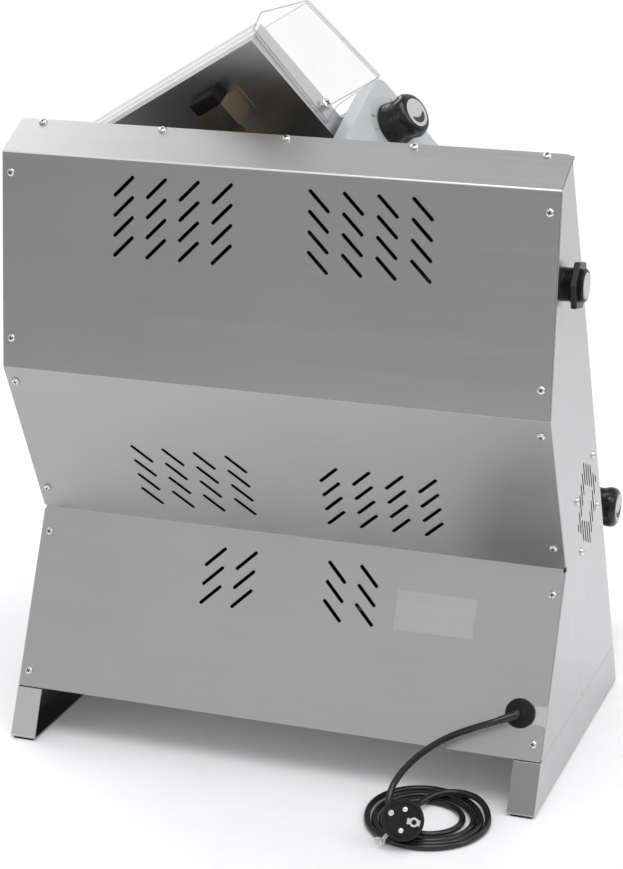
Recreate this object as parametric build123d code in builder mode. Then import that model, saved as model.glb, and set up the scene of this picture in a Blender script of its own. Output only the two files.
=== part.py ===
from build123d import *
from math import cos, pi, radians, sin, tan
import os

# Dough rolling machine. Millimetres, +Z up, operator in front at -Y, rear cover at +Y.
# Origin on the floor under the middle of the machine.
os.makedirs("parts", exist_ok=True)

# Casing
CASE_WIDTH = 530.0
CASE_X = -1.0               # casing mid-plane: the upper head overhangs further than the switch
SHEET = 1.5
BEND = 2.0
FOLD = 1.2                  # outer radius of the folds round the side panels and legs
FOLD_CORNER = 2.5
STRIP_CORNER = 7.0
FLANGE = 20.0               # inward flange round each side panel
COVER_GAP = 0.8             # the cover stops this far short of the side panels' faces
TOP_FRONT = (186.2, 602.4)  # rear cover profile, (Y, Z) from the top strip down
TOP_REAR = (230.0, 579.4)
UPPER_END = (245.8, 376.6)
WAIST = (167.4, 210.9)
LOWER_END = (240.5, 48.7)
FRONT_SLOPE = radians(24.43)
FRONT_FOOT_Y = -78.2        # the sloped front meets the floor here
PLINTH = 47.9
PAD = 1.5
PAD_INSET = 3.0
LEG_FLANGE = 26.0
RELIEF = (2.4, 9.0, 4.6)    # corner notch at each end of the waist fold

# Vents and screws of the rear cover, measured from each panel's upper edge
VENT_LENGTH = 27.5
VENT_WIDTH = 3.5
VENT_PITCH_X = 32.0
VENT_FIRST_X = 46.0
VENT_PITCH_Y = 18.4
SCREW_X = 255.3
STRIP_SCREW_PITCH = 120.6
STRIP_SCREW_S = 4.6
SCREW_R = 2.0
SCREW_HEAD_R = 3.8
SCREW_HEAD = 2.6
SCREW_LENGTH = 8.0
GLAND_X = -239.4            # from the casing mid-plane
GLAND_S = 135.9
GLAND_R = 13.7
NOTCH = 18.0
NOTCH_MOUTH = 5.0           # radius where the notch opens at the cover's edge

# Side panel fittings, (Y, Z)
FAN_CENTRE = (90.4, 250.7)
FAN_SIZE = 76.0
FAN_DEPTH = 22.0
FAN_SCREW_PITCH = 65.0
GRILLE_PITCH = 7.0          # slots in a diamond round a bare middle
GRILLE_SLOT = (28.0, 3.0)
GRILLE_FIRST = 24.0
GRILLE_STEP = 7.3
GRILLE_TIP = 10.0
SWITCH_CENTRE = (208.5, 492.3)
SWITCH_R = 15.0
SWITCH_OUT = 19.2
NUT_ACROSS_FLATS = 40.6
NUT_OUT = (9.2, 14.7)
BUTTON_R = 12.0
BUTTON_PROUD = 0.8
BUTTON_TRAVEL = 2.5

# Roller unit, in its own frame on the sloped front:
# X along the rollers to the drive end, Y up the chute, Z outward
ROLLER_R = 30.0
SHAFT_R = 10.0
MIN_GAP = 0.5
GAP_TRAVEL = 4.0
REAR_AXIS = 38.0
FRONT_AXIS = REAR_AXIS + 2 * ROLLER_R + MIN_GAP
RUNNING = 0.05              # radial clearance of a shaft in its bore
SLIDING = 0.15
CHEEK = 23.0
CHEEK_Y = (-46.0, 73.0)
CHEEK_Z = 136.0
POCKET = 16.0
BLOCK = 18.0
BLOCK_FOOT = 38.0
BLOCK_PROUD = 0.5
KNOB_Y = 36.0
KNOB_Z = 99.5
ADJUST_R = 4.0
CAM_R = 12.8
CAM_THICK = 10.0
CAM_TURN = 270.0
LUG = 6.0
LUG_TOP = 46.0
KNOB_R = 21.0
KNOB_SKIRT_R = 21.6
KNOB_LENGTH = 30.0
KNOB_ROUND = 5.2
KNOB_LOBES = 8
CAP_R = 13.8
MODULE = 3.0
ROLLER_TEETH = 20
PINION_TEETH = 14
GEAR_WIDTH = 18.0
PINION_Z = REAR_AXIS - MODULE * (ROLLER_TEETH + PINION_TEETH) / 2 - 0.3
COVER_DEPTH = 28.0
COVER_WALL = 2.5
COVER_Z = 142.0
CHUTE_Z = 60.0
CHUTE_INSET = 7.0           # chute rim to cheek
CHUTE_START = 24.0
EAR_TOP = 44.0
RIM = 28.0
TOP_RIM = 14.0
RIM_START = 46.0
GUARD = 3.0
TOP_STRIP = 13.0            # height of the strip across the upper guard's top end
STRIP_SWING = 1.9           # room for the guard's top strip to swing past the chute's top rim
HINGE_Y = 94.4
HINGE_Z = 78.7
HINGE_R = 3.0
TIE_Y = 61.0
TIE_Z = 117.0
TIE_R = 3.0
BLADE = 2.0
BLADE_REACH = 14.0
BLADE_GAP = 0.4
BLADE_LEAN = 25.0
GEARBOX = (70.0, -20.0, 62.0, -80.0)
MOTOR = (130.0, 23.0, -43.0, 36.0)

# Place of each unit on the front: X from the mid-plane, Z, tilt, half length, top of the chute
UNITS = {
    "upper": (61.1, 442.0, radians(33.0), 152.0, 189.0),
    "lower": (0.0, 105.2, 0.0, 200.0, 122.0),
}

# Bracket and stop behind the upper chute, in the upper unit's frame
HAT = (-69.0, 30.0, 17.0)   # middle, width, height
HAT_Y = (131.0, 157.5)
HAT_FLANGE = 15.0
BRACKET_ARM = 26.0
BRACKET_FOOT = (92.0, 112.0)
STOP_LENGTH = 13.2

# Balance pan between the two roller pairs
PAN_X = -100.0
PAN_Z = 385.0
PAN_WIDTH = 150.0
PAN_DROP = 92.0
PAN_LEVEL = 56.0
PAN_LIP = 22.0
PAN_PIN_R = 5.0

# Exit tray
TRAY_WIDTH = 416.0
TRAY_FRONT = -265.0

# Mains lead: points chosen along its free stretch, then the coil and the plug
CORD_R = 3.1
CORD_ROUTE = [
    (-238.0, 236.5, 90.0),
    (-224.2, 245.5, 86.0),
    (-209.3, 250.8, 81.0),
    (-194.4, 253.5, 74.7),
    (-180.2, 254.7, 66.9),
    (-167.1, 256.0, 57.6),
    (-155.4, 258.6, 47.6),
    (-145.6, 263.3, 37.6),
    (-138.6, 270.2, 28.3),
    (-134.9, 278.8, 20.0),
    (-135.0, 288.9, 12.6),
    (-138.8, 299.6, 6.8),
    (-146.3, 310.0, 3.3),
    (-156.6, 318.7, 3.1),
]
COIL_CENTRE = (-174.0, 298.0)
COIL_R = (18.0, 58.6)
PLUG_FACE = (-169.5, 353.9, 28.6)
PLUG_FACING = (-0.263, 0.852, 0.452)
PLUG_ROLL = radians(-11)
PLUG_R = 19.0
PLUG_RIM = 10.0             # depth of its round rim, before it narrows to the lead
PLUG_BOOT = (44.0, 4.4)     # end of its sleeve: depth, radius
PLUG_TAIL = 56.0            # the lead reaches the coil this far behind the face
PIN_R = 2.4
PIN_LENGTH = 19.0
PIN_SPACING = 19.0

half_width = CASE_WIDTH / 2
out_front = Vector(0, -cos(FRONT_SLOPE), sin(FRONT_SLOPE))
outward_axis = Axis((0, 0, 0), out_front)


def save(builder, name):
    builder.part.label = name
    export_step(builder.part, f"parts/{name}.step")


def front_y(z):
    return FRONT_FOOT_Y + z * tan(FRONT_SLOPE)


def inset_path(points, gap):
    """Corners of a path moved to its right-hand side by a gap."""
    lines = []
    for start, end in zip(points, points[1:]):
        run = (Vector(*end) - Vector(*start)).normalized()
        lines.append((Vector(*start) + Vector(run.Y, -run.X) * gap, run))
    corners = [lines[0][0]]
    for (here, run), (there, next_run) in zip(lines, lines[1:]):
        cross = run.X * next_run.Y - run.Y * next_run.X
        gap_vector = there - here
        reach = (gap_vector.X * next_run.Y - gap_vector.Y * next_run.X) / cross
        corners.append(here + run * reach)
    last_length = (Vector(*points[-1]) - Vector(*points[-2])).length
    shift = lines[-1][0] - Vector(*points[-2])
    corners.append(Vector(*points[-2]) + shift + lines[-1][1] * last_length)
    return [(corner.X, corner.Y) for corner in corners]


def panel_plane(start, end):
    """Outer face of a rear panel as seen from behind: sketch Y is up, from its upper edge."""
    run = (Vector(0, *end) - Vector(0, *start)).normalized()
    return Plane(origin=(CASE_X, *start), x_dir=(-1, 0, 0), z_dir=(0, -run.Z, run.Y))


def unit_plane(x, z, tilt):
    along = Vector(cos(tilt), -sin(tilt) * sin(FRONT_SLOPE), -sin(tilt) * cos(FRONT_SLOPE))
    return Plane(origin=(CASE_X + x, front_y(z), z), x_dir=along, z_dir=out_front)


def across(unit, x, y=0.0, z=0.0):
    """Section plane of a roller unit: sketch X is up the chute, sketch Y is outward."""
    return Plane(origin=unit.from_local_coords((x, y, z)), x_dir=unit.y_dir, z_dir=unit.x_dir)


def tooth_points(teeth, phase):
    """Outline of a straight-flanked spur gear with room to spare between the teeth."""
    pitch_r = MODULE * teeth / 2
    corners = []
    for index in range(teeth):
        middle = phase + index * 2 * pi / teeth
        for radius, half_tooth in (
            (pitch_r - 1.25 * MODULE, -2.8),
            (pitch_r + MODULE, -0.85),
            (pitch_r + MODULE, 0.85),
            (pitch_r - 1.25 * MODULE, 2.8),
        ):
            angle = middle + half_tooth / radius
            corners.append((radius * cos(angle), radius * sin(angle)))
    return corners


def gear(name, plane, teeth, phase, bore_r):
    """Spur gear; the phase turns a tooth away from the outward direction."""
    with BuildPart() as wheel:
        with BuildSketch(plane):
            with BuildLine():
                Polyline(*tooth_points(teeth, pi / 2 + phase), close=True)
            make_face()
            Circle(bore_r, mode=Mode.SUBTRACT)
        extrude(amount=GEAR_WIDTH)
    save(wheel, name)


# Rear cover panels, from the top strip down
strip = panel_plane(TOP_FRONT, TOP_REAR)
upper_panel = panel_plane(TOP_REAR, UPPER_END)
middle_panel = panel_plane(UPPER_END, WAIST)
lower_panel = panel_plane(WAIST, LOWER_END)

# Each vent group: panel, first row from the upper edge, columns, rows, slant of the left group
VENTS = (
    (upper_panel, 24.7, 4, 4, 45),
    (middle_panel, 95.0, 4, 4, -45),
    (lower_panel, 28.5, 2, 3, 45),
)

cover_screw_spots = [
    strip * Location((index * STRIP_SCREW_PITCH, -STRIP_SCREW_S, 0)) for index in range(-2, 3)
]
COVER_SCREW_ROWS = (
    (upper_panel, (19.5, 175.2)),
    (middle_panel, (17.0, 156.0)),
    (lower_panel, (24.3, 162.6)),
)
for panel, rows in COVER_SCREW_ROWS:
    for row in rows:
        for side in (-1, 1):
            cover_screw_spots.append(panel * Location((side * SCREW_X, -row, 0)))

gland_spot = lower_panel * Location((-GLAND_X, -GLAND_S, 0))
fan_plane = Plane(
    origin=(CASE_X - half_width, *FAN_CENTRE),
    x_dir=(0, cos(FRONT_SLOPE), -sin(FRONT_SLOPE)),
    z_dir=(-1, 0, 0),
)
fan_screw_spots = []
for side in (-1, 1):
    for row in (-1, 1):
        fan_screw_spots.append(
            fan_plane * Location((side * FAN_SCREW_PITCH / 2, row * FAN_SCREW_PITCH / 2, 0))
        )

# Rear cover
profile = [TOP_FRONT, TOP_REAR, UPPER_END, WAIST, LOWER_END]
cover_width = CASE_WIDTH - 2 * COVER_GAP
with BuildPart() as rear_cover:
    with BuildSketch(Plane.YZ.offset(CASE_X - cover_width / 2)):
        with BuildLine():
            FilletPolyline(*profile, radius=BEND)
            offset(amount=SHEET, side=Side.RIGHT)
        make_face()
    extrude(amount=cover_width)
    sheet_edges = rear_cover.edges().filter_by(lambda edge: abs(edge.length - SHEET) < 0.01)
    fillet(sheet_edges.group_by(Axis.Z)[-1], STRIP_CORNER)
    for panel, first_row, columns, rows, slant in VENTS:
        with BuildSketch(panel):
            for side in (-1, 1):
                for column in range(columns):
                    for row in range(rows):
                        x = side * (VENT_FIRST_X + column * VENT_PITCH_X)
                        with Locations((x, -first_row - row * VENT_PITCH_Y)):
                            SlotOverall(VENT_LENGTH, VENT_WIDTH, rotation=-side * slant)
        extrude(amount=3 * SHEET, both=True, mode=Mode.SUBTRACT)
    to_edge = cover_width / 2 + GLAND_X
    with BuildSketch(lower_panel):
        with Locations((-GLAND_X, -GLAND_S)):
            Circle(NOTCH / 2)
        with Locations((-GLAND_X + to_edge, -GLAND_S)):
            Rectangle(2 * to_edge, NOTCH)
    extrude(amount=3 * SHEET, both=True, mode=Mode.SUBTRACT)
    mouth = lower_panel.from_local_coords((-GLAND_X + to_edge, -GLAND_S, 0))
    mouth_edges = rear_cover.edges().filter_by(lambda edge: abs(edge.length - SHEET) < 0.01)
    fillet(mouth_edges.sort_by_distance(mouth)[:2], NOTCH_MOUTH)
    for side in (-1, 1):
        with Locations((CASE_X + side * half_width, *WAIST)):
            Box(2 * RELIEF[0], RELIEF[1], RELIEF[2], mode=Mode.SUBTRACT)
    with Locations(*cover_screw_spots):
        Cylinder(SCREW_R, 4 * SCREW_LENGTH, mode=Mode.SUBTRACT)
save(rear_cover, "rear_cover")

# Side panels: a plate with an inward flange all round, under the cover's edges
side_outline = inset_path(profile, SHEET)
strip_run = (Vector(*TOP_REAR) - Vector(*TOP_FRONT)).normalized()
strip_start = Vector(*side_outline[0])
to_front = (front_y(strip_start.Y) - strip_start.X) / (strip_run.X - tan(FRONT_SLOPE) * strip_run.Y)
top_corner = strip_start + strip_run * to_front
side_outline[0] = (top_corner.X, top_corner.Y)
side_outline[-1] = (side_outline[-1][0], PLINTH)
side_outline.append((front_y(PLINTH), PLINTH))
for name, side in (("left_side_panel", -1), ("right_side_panel", 1)):
    outer_x = CASE_X + side * half_width
    with BuildPart() as side_panel:
        with BuildSketch(Plane.YZ.offset(outer_x)):
            with BuildLine():
                FilletPolyline(*side_outline, radius=FOLD_CORNER, close=True)
            make_face()
        extrude(amount=-side * FLANGE)
        outer_face = side_panel.faces().sort_by(Axis((0, 0, 0), (side, 0, 0)))[-1]
        fillet(outer_face.edges(), FOLD)
        with BuildSketch(Plane.YZ.offset(outer_x - side * SHEET)):
            with BuildLine():
                Polyline(*side_outline, close=True)
            make_face()
            offset(amount=-SHEET, kind=Kind.INTERSECTION)
        extrude(amount=-side * FLANGE, mode=Mode.SUBTRACT)
        with Locations(*cover_screw_spots):
            Cylinder(SCREW_R, 4 * SCREW_LENGTH, mode=Mode.SUBTRACT)
        with Locations((outer_x, *WAIST)):
            Box(2 * RELIEF[0], RELIEF[1], RELIEF[2], mode=Mode.SUBTRACT)
        if side < 0:
            with BuildSketch(fan_plane):
                for index in range(-3, 4):
                    middle = GRILLE_FIRST - GRILLE_STEP * abs(index) + GRILLE_SLOT[0] / 2
                    for end in (-1, 1):
                        with Locations((index * GRILLE_PITCH, end * middle)):
                            SlotOverall(*GRILLE_SLOT, rotation=90)
                for index, length in ((4, GRILLE_SLOT[0]), (5, GRILLE_TIP)):
                    for end in (-1, 1):
                        with Locations((end * index * GRILLE_PITCH, 0)):
                            SlotOverall(length, GRILLE_SLOT[1], rotation=90)
            extrude(amount=3 * SHEET, both=True, mode=Mode.SUBTRACT)
            with Locations(*fan_screw_spots):
                Cylinder(SCREW_R, 4 * SCREW_LENGTH, mode=Mode.SUBTRACT)
            with Locations(Location((outer_x, *SWITCH_CENTRE), (0, 90, 0))):
                Cylinder(SWITCH_R, 4 * SHEET, mode=Mode.SUBTRACT)
            with Locations(gland_spot):
                Cylinder(GLAND_R, 4 * SCREW_LENGTH, mode=Mode.SUBTRACT)
    save(side_panel, name)

# Sloped front panel with an outward flange under the top strip,
# and a slot where each drive pinion reaches through
front_path = [
    (strip_start.X, strip_start.Y),
    (top_corner.X, top_corner.Y),
    (front_y(PLINTH), PLINTH),
]
front_face = inset_path(front_path, SHEET)
with BuildPart() as front_panel:
    with BuildSketch(Plane.YZ.offset(CASE_X - cover_width / 2)):
        with BuildLine():
            Polyline(*front_path, *reversed(front_face), close=True)
        make_face()
    extrude(amount=cover_width)
    with Locations(*cover_screw_spots[:5]):
        Cylinder(SCREW_R, 2 * SCREW_LENGTH, mode=Mode.SUBTRACT)
    for x, z, tilt, half, chute_top in UNITS.values():
        with BuildSketch(unit_plane(x, z, tilt)):
            with Locations((half + CHEEK + 4 + GEAR_WIDTH / 2, 0)):
                Rectangle(GEAR_WIDTH + 4, 52)
        extrude(amount=SHEET, mode=Mode.SUBTRACT)
save(front_panel, "front_panel")

# Floor of the casing
floor_z = PLINTH + SHEET
rear_of_floor = WAIST[0] + (LOWER_END[0] - WAIST[0]) * (WAIST[1] - floor_z) / (WAIST[1] - LOWER_END[1])
floor_start = front_y(floor_z) + 3
floor_end = rear_of_floor - 6
with BuildPart() as base_tray:
    with Locations((CASE_X, (floor_start + floor_end) / 2, floor_z + SHEET / 2)):
        Box(CASE_WIDTH - 2 * SHEET - 1, floor_end - floor_start, SHEET)
save(base_tray, "base_tray")

# Plinth legs: folded channels, open towards the middle
leg_rear_run = (LOWER_END[0] - WAIST[0]) / (WAIST[1] - LOWER_END[1])
leg_rear_top = LOWER_END[0] + (LOWER_END[1] - PLINTH) * leg_rear_run
leg_rear_floor = LOWER_END[0] + (LOWER_END[1] - PAD) * leg_rear_run
leg_outline = [
    (front_y(PAD), PAD),
    (front_y(PLINTH), PLINTH),
    (leg_rear_top, PLINTH),
    (leg_rear_floor, PAD),
]
with BuildPart() as foot_pads:
    for side in (-1, 1):
        pad_x = CASE_X + side * (half_width - LEG_FLANGE / 2)
        for pad_y in (front_y(PAD) + 24, leg_rear_floor - 24):
            with Locations((pad_x, pad_y, PAD / 2)):
                Box(LEG_FLANGE - 2 * PAD_INSET, 48 - 2 * PAD_INSET, PAD)
save(foot_pads, "foot_pads")
for name, side in (("left_leg", -1), ("right_leg", 1)):
    outer_x = CASE_X + side * half_width
    with BuildPart() as leg:
        with BuildSketch(Plane.YZ.offset(outer_x)):
            with BuildLine():
                FilletPolyline(*leg_outline, radius=FOLD_CORNER, close=True)
            make_face()
        extrude(amount=-side * LEG_FLANGE)
        outer_face = leg.faces().sort_by(Axis((0, 0, 0), (side, 0, 0)))[-1]
        fillet(outer_face.edges(), FOLD)
        with BuildSketch(Plane.YZ.offset(outer_x - side * SHEET)):
            with BuildLine():
                Polyline(*leg_outline, close=True)
            make_face()
            offset(amount=-SHEET, kind=Kind.INTERSECTION)
        extrude(amount=-side * LEG_FLANGE, mode=Mode.SUBTRACT)
    save(leg, name)

# Pan-head screws of the cover and the fan, each with its shank through the sheet
with BuildPart() as case_screws:
    with Locations(*cover_screw_spots, *fan_screw_spots):
        Cylinder(SCREW_HEAD_R, SCREW_HEAD, align=(Align.CENTER, Align.CENTER, Align.MIN))
    fillet(case_screws.edges().filter_by(GeomType.CIRCLE).group_by(SortBy.LENGTH)[-1], 0.6)
    with Locations(*cover_screw_spots, *fan_screw_spots):
        Cylinder(SCREW_R, SCREW_LENGTH, align=(Align.CENTER, Align.CENTER, Align.MAX))
save(case_screws, "case_screws")

# Cooling fan inside the left side panel
fan_inside = Plane(
    origin=fan_plane.origin + Vector(SHEET, 0, 0), x_dir=fan_plane.x_dir, z_dir=(1, 0, 0)
)
with BuildPart() as fan_frame:
    with BuildSketch(fan_inside):
        RectangleRounded(FAN_SIZE, FAN_SIZE, 5)
        Circle(FAN_SIZE / 2 - 2, mode=Mode.SUBTRACT)
        with GridLocations(FAN_SCREW_PITCH, FAN_SCREW_PITCH, 2, 2):
            Circle(SCREW_R, mode=Mode.SUBTRACT)
    extrude(amount=FAN_DEPTH)
    with BuildSketch(fan_inside.offset(FAN_DEPTH - 3)):
        Circle(14)
        with PolarLocations(FAN_SIZE / 4, 4, start_angle=45):
            Rectangle(FAN_SIZE / 2, 4)
    extrude(amount=3)
    with BuildSketch(fan_inside.offset(4)):
        Circle(3)
    extrude(amount=FAN_DEPTH - 4)
save(fan_frame, "fan_frame")

with BuildPart() as fan_rotor:
    with BuildSketch(fan_inside.offset(3)):
        Circle(13.5)
        with PolarLocations(22, 7):
            Rectangle(20, 4)
        Circle(3 + RUNNING, mode=Mode.SUBTRACT)
    extrude(amount=FAN_DEPTH - 8)
save(fan_rotor, "fan_rotor")

# Push switch on the left side panel
switch_plane = Plane(origin=(CASE_X - half_width, *SWITCH_CENTRE), x_dir=(0, 1, 0), z_dir=(-1, 0, 0))
with BuildPart() as switch_sleeve:
    with BuildSketch(switch_plane.offset(-14)):
        Circle(SWITCH_R)
    extrude(amount=14 + SWITCH_OUT)
    with BuildSketch(switch_plane.offset(-SHEET - 3)):
        Circle(SWITCH_R + 3)
    extrude(amount=3)
    with BuildSketch(switch_plane.offset(SWITCH_OUT - 8)):
        Circle(BUTTON_R + RUNNING)
    extrude(amount=8, mode=Mode.SUBTRACT)
save(switch_sleeve, "switch_sleeve")

with BuildPart() as switch_nut:
    with BuildSketch(switch_plane.offset(NUT_OUT[0])):
        RegularPolygon(NUT_ACROSS_FLATS / 2, 6, major_radius=False, rotation=-12)
        Circle(SWITCH_R, mode=Mode.SUBTRACT)
    extrude(amount=NUT_OUT[1] - NUT_OUT[0])
    outer_edges = switch_nut.edges().filter_by(GeomType.LINE).filter_by(Plane.YZ)
    chamfer(outer_edges, 1)
save(switch_nut, "switch_nut")

with BuildPart() as switch_button:
    with BuildSketch(switch_plane.offset(SWITCH_OUT - 8 + BUTTON_TRAVEL + 0.5)):
        Circle(BUTTON_R)
    extrude(amount=8 - BUTTON_TRAVEL - 0.5 + BUTTON_PROUD)
    fillet(switch_button.edges().sort_by(Axis.X)[0], 1.5)
save(switch_button, "switch_button")


def roller_section(unit, z, radius, inner_r, start, end, name):
    """Tube or shaft along a unit's rollers."""
    with BuildPart() as turned:
        with BuildSketch(across(unit, start, 0, z)):
            Circle(radius)
            if inner_r:
                Circle(inner_r, mode=Mode.SUBTRACT)
        extrude(amount=end - start)
    save(turned, name)


def cheek_outline():
    """Rounded cheek plate on the current section plane."""
    with Locations(((CHEEK_Y[0] + CHEEK_Y[1]) / 2, (SHEET + CHEEK_Z) / 2)):
        plate = Rectangle(CHEEK_Y[1] - CHEEK_Y[0], CHEEK_Z - SHEET)
    fillet(plate.vertices().group_by(Axis.Y)[-1], 12)


def block_points(slack, travel):
    """Sliding block with its cam lug; the pocket is the same shape with slack and travel."""
    bottom = -BLOCK_FOOT - slack
    inner = FRONT_AXIS - BLOCK - slack
    outer = FRONT_AXIS + BLOCK + travel + slack
    lug_outer = inner + LUG + travel + 2 * slack
    return [
        (bottom, inner),
        (LUG_TOP + slack, inner),
        (LUG_TOP + slack, lug_outer),
        (BLOCK + slack, lug_outer),
        (BLOCK + slack, outer),
        (bottom, outer),
    ]


def blade_plane(unit, axis_z, side, start):
    """Section plane at the middle of a scraper blade on the exit side of a roller."""
    middle = ROLLER_R + BLADE_GAP + BLADE_REACH / 2
    lean = radians(BLADE_LEAN)
    return across(unit, start, -middle * cos(lean), axis_z + side * middle * sin(lean))


def cam_points():
    """Snail cam: its radius falls evenly over the knob's turn."""
    corners = []
    steps = 20
    for index in range(steps + 1):
        turn = CAM_TURN * index / steps
        radius = CAM_R - GAP_TRAVEL * turn / CAM_TURN
        angle = radians(turn - 90)
        corners.append((radius * cos(angle), radius * sin(angle)))
    return corners


def make_unit(name, x, z, tilt, half, chute_top):
    unit = unit_plane(x, z, tilt)

    # Cheeks: pale plastic plates that carry the shafts and guide the sliding blocks
    for end, start in (("knob", -half - CHEEK), ("drive", half)):
        inner_start = -half - POCKET if end == "knob" else half
        with BuildPart() as cheek:
            with BuildSketch(across(unit, start)):
                cheek_outline()
            extrude(amount=CHEEK)
            with BuildSketch(across(unit, inner_start)):
                with BuildLine():
                    Polyline(*block_points(SLIDING, GAP_TRAVEL), close=True)
                make_face()
                with Locations((KNOB_Y, KNOB_Z)):
                    Circle(CAM_R + 0.6)
            extrude(amount=POCKET, mode=Mode.SUBTRACT)
            with BuildSketch(across(unit, start)):
                with Locations((KNOB_Y, KNOB_Z)):
                    Circle(ADJUST_R + RUNNING)
                if end == "drive":
                    with Locations((0, FRONT_AXIS + GAP_TRAVEL / 2)):
                        SlotCenterToCenter(GAP_TRAVEL, 2 * SHAFT_R + 2, rotation=90)
            extrude(amount=CHEEK, mode=Mode.SUBTRACT)
            bore_start = -half - POCKET if end == "knob" else half
            bore_length = POCKET if end == "knob" else CHEEK
            with BuildSketch(across(unit, bore_start, 0, REAR_AXIS)):
                Circle(SHAFT_R + RUNNING)
            extrude(amount=bore_length, mode=Mode.SUBTRACT)
        save(cheek, f"{name}_{end}_cheek")

    # Gear cover on the drive end
    cover_start = half + CHEEK
    with BuildPart() as drive_cover:
        with BuildSketch(across(unit, cover_start)):
            with Locations((0, (SHEET + COVER_Z) / 2)):
                Rectangle(2 * -CHEEK_Y[0], COVER_Z - SHEET)
        extrude(amount=COVER_DEPTH)
        fillet(drive_cover.edges().filter_by(Axis(unit.origin, unit.x_dir)).group_by(outward_axis)[-1], 10)
        with BuildSketch(across(unit, cover_start)):
            with Locations((0, (SHEET + COVER_Z - COVER_WALL) / 2)):
                Rectangle(2 * -CHEEK_Y[0] - 2 * COVER_WALL, COVER_Z - SHEET - COVER_WALL)
        extrude(amount=COVER_DEPTH - COVER_WALL, mode=Mode.SUBTRACT)
    save(drive_cover, f"{name}_drive_cover")

    # Rollers on their shafts, with the meshing gears at the drive end
    gear_start = half + CHEEK + 4
    shaft_end = gear_start + GEAR_WIDTH + 1
    roller_section(unit, REAR_AXIS, ROLLER_R, SHAFT_R, 1 - half, half - 1, f"{name}_rear_roller")
    roller_section(unit, FRONT_AXIS, ROLLER_R, SHAFT_R, 1 - half, half - 1, f"{name}_front_roller")
    roller_section(unit, REAR_AXIS, SHAFT_R, 0, 0.5 - half - POCKET, shaft_end, f"{name}_rear_shaft")
    roller_section(unit, FRONT_AXIS, SHAFT_R, 0, 0.5 - half - POCKET, shaft_end, f"{name}_front_shaft")
    half_tooth = pi / ROLLER_TEETH
    gear(f"{name}_rear_gear", across(unit, gear_start, 0, REAR_AXIS), ROLLER_TEETH, 0, SHAFT_R)
    gear(f"{name}_front_gear", across(unit, gear_start, 0, FRONT_AXIS), ROLLER_TEETH, half_tooth, SHAFT_R)

    # Carriage of the front roller: two sliding blocks tied by its scraper blade
    with BuildPart() as carriage:
        for start in (-half - POCKET + SLIDING, half - BLOCK_PROUD):
            with BuildSketch(across(unit, start)):
                with BuildLine():
                    Polyline(*block_points(0, 0), close=True)
                make_face()
                with Locations((0, FRONT_AXIS)):
                    Circle(SHAFT_R + RUNNING, mode=Mode.SUBTRACT)
            extrude(amount=POCKET - SLIDING + BLOCK_PROUD)
        with BuildSketch(blade_plane(unit, FRONT_AXIS, 1, BLOCK_PROUD - half)):
            Rectangle(BLADE_REACH, BLADE, rotation=-BLADE_LEAN)
        extrude(amount=2 * half - 2 * BLOCK_PROUD)
    save(carriage, f"{name}_carriage")

    # Adjusting shaft with a snail cam for each block
    with BuildPart() as adjust_shaft:
        with BuildSketch(across(unit, -half - CHEEK - KNOB_LENGTH + 8, KNOB_Y, KNOB_Z)):
            Circle(ADJUST_R)
        extrude(amount=2 * half + 2 * CHEEK + KNOB_LENGTH - 10)
        for start in (-half - POCKET + 3, half + 3):
            with BuildSketch(across(unit, start, KNOB_Y, KNOB_Z)):
                with BuildLine():
                    snail = Spline(*cam_points())
                    Line(snail @ 1, snail @ 0)
                make_face()
                Circle(ADJUST_R + RUNNING, mode=Mode.SUBTRACT)
            extrude(amount=CAM_THICK)
    save(adjust_shaft, f"{name}_adjust_shaft")

    # Thickness knob and its cap, facing away from the drive end
    knob_face = Plane(
        origin=unit.from_local_coords((-half - CHEEK - 0.8, KNOB_Y, KNOB_Z)),
        x_dir=unit.y_dir,
        z_dir=-unit.x_dir,
    )
    with BuildPart() as knob:
        with BuildSketch(knob_face):
            Circle(KNOB_SKIRT_R)
        extrude(amount=2.5)
        with BuildSketch(knob_face.offset(2.5)):
            Circle(KNOB_R)
        extrude(amount=KNOB_LENGTH - 2.5, taper=2)
        knob_rings = knob.edges().filter_by(GeomType.CIRCLE)
        fillet(knob_rings.sort_by(Axis(unit.origin, -unit.x_dir))[-1], KNOB_ROUND)
        with BuildSketch(knob_face.offset(4)):
            with PolarLocations(KNOB_R + 4.4, KNOB_LOBES):
                Circle(7)
        extrude(amount=KNOB_LENGTH, mode=Mode.SUBTRACT)
        with BuildSketch(knob_face.offset(KNOB_LENGTH - 1.5)):
            Circle(CAP_R)
        extrude(amount=2, mode=Mode.SUBTRACT)
        with BuildSketch(knob_face):
            Circle(ADJUST_R)
        extrude(amount=KNOB_LENGTH - 8.8, mode=Mode.SUBTRACT)
    save(knob, f"{name}_knob")
    with BuildPart() as knob_cap:
        with BuildSketch(knob_face.offset(KNOB_LENGTH - 1.5)):
            Circle(CAP_R)
        extrude(amount=1.7)
    save(knob_cap, f"{name}_knob_cap")

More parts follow.
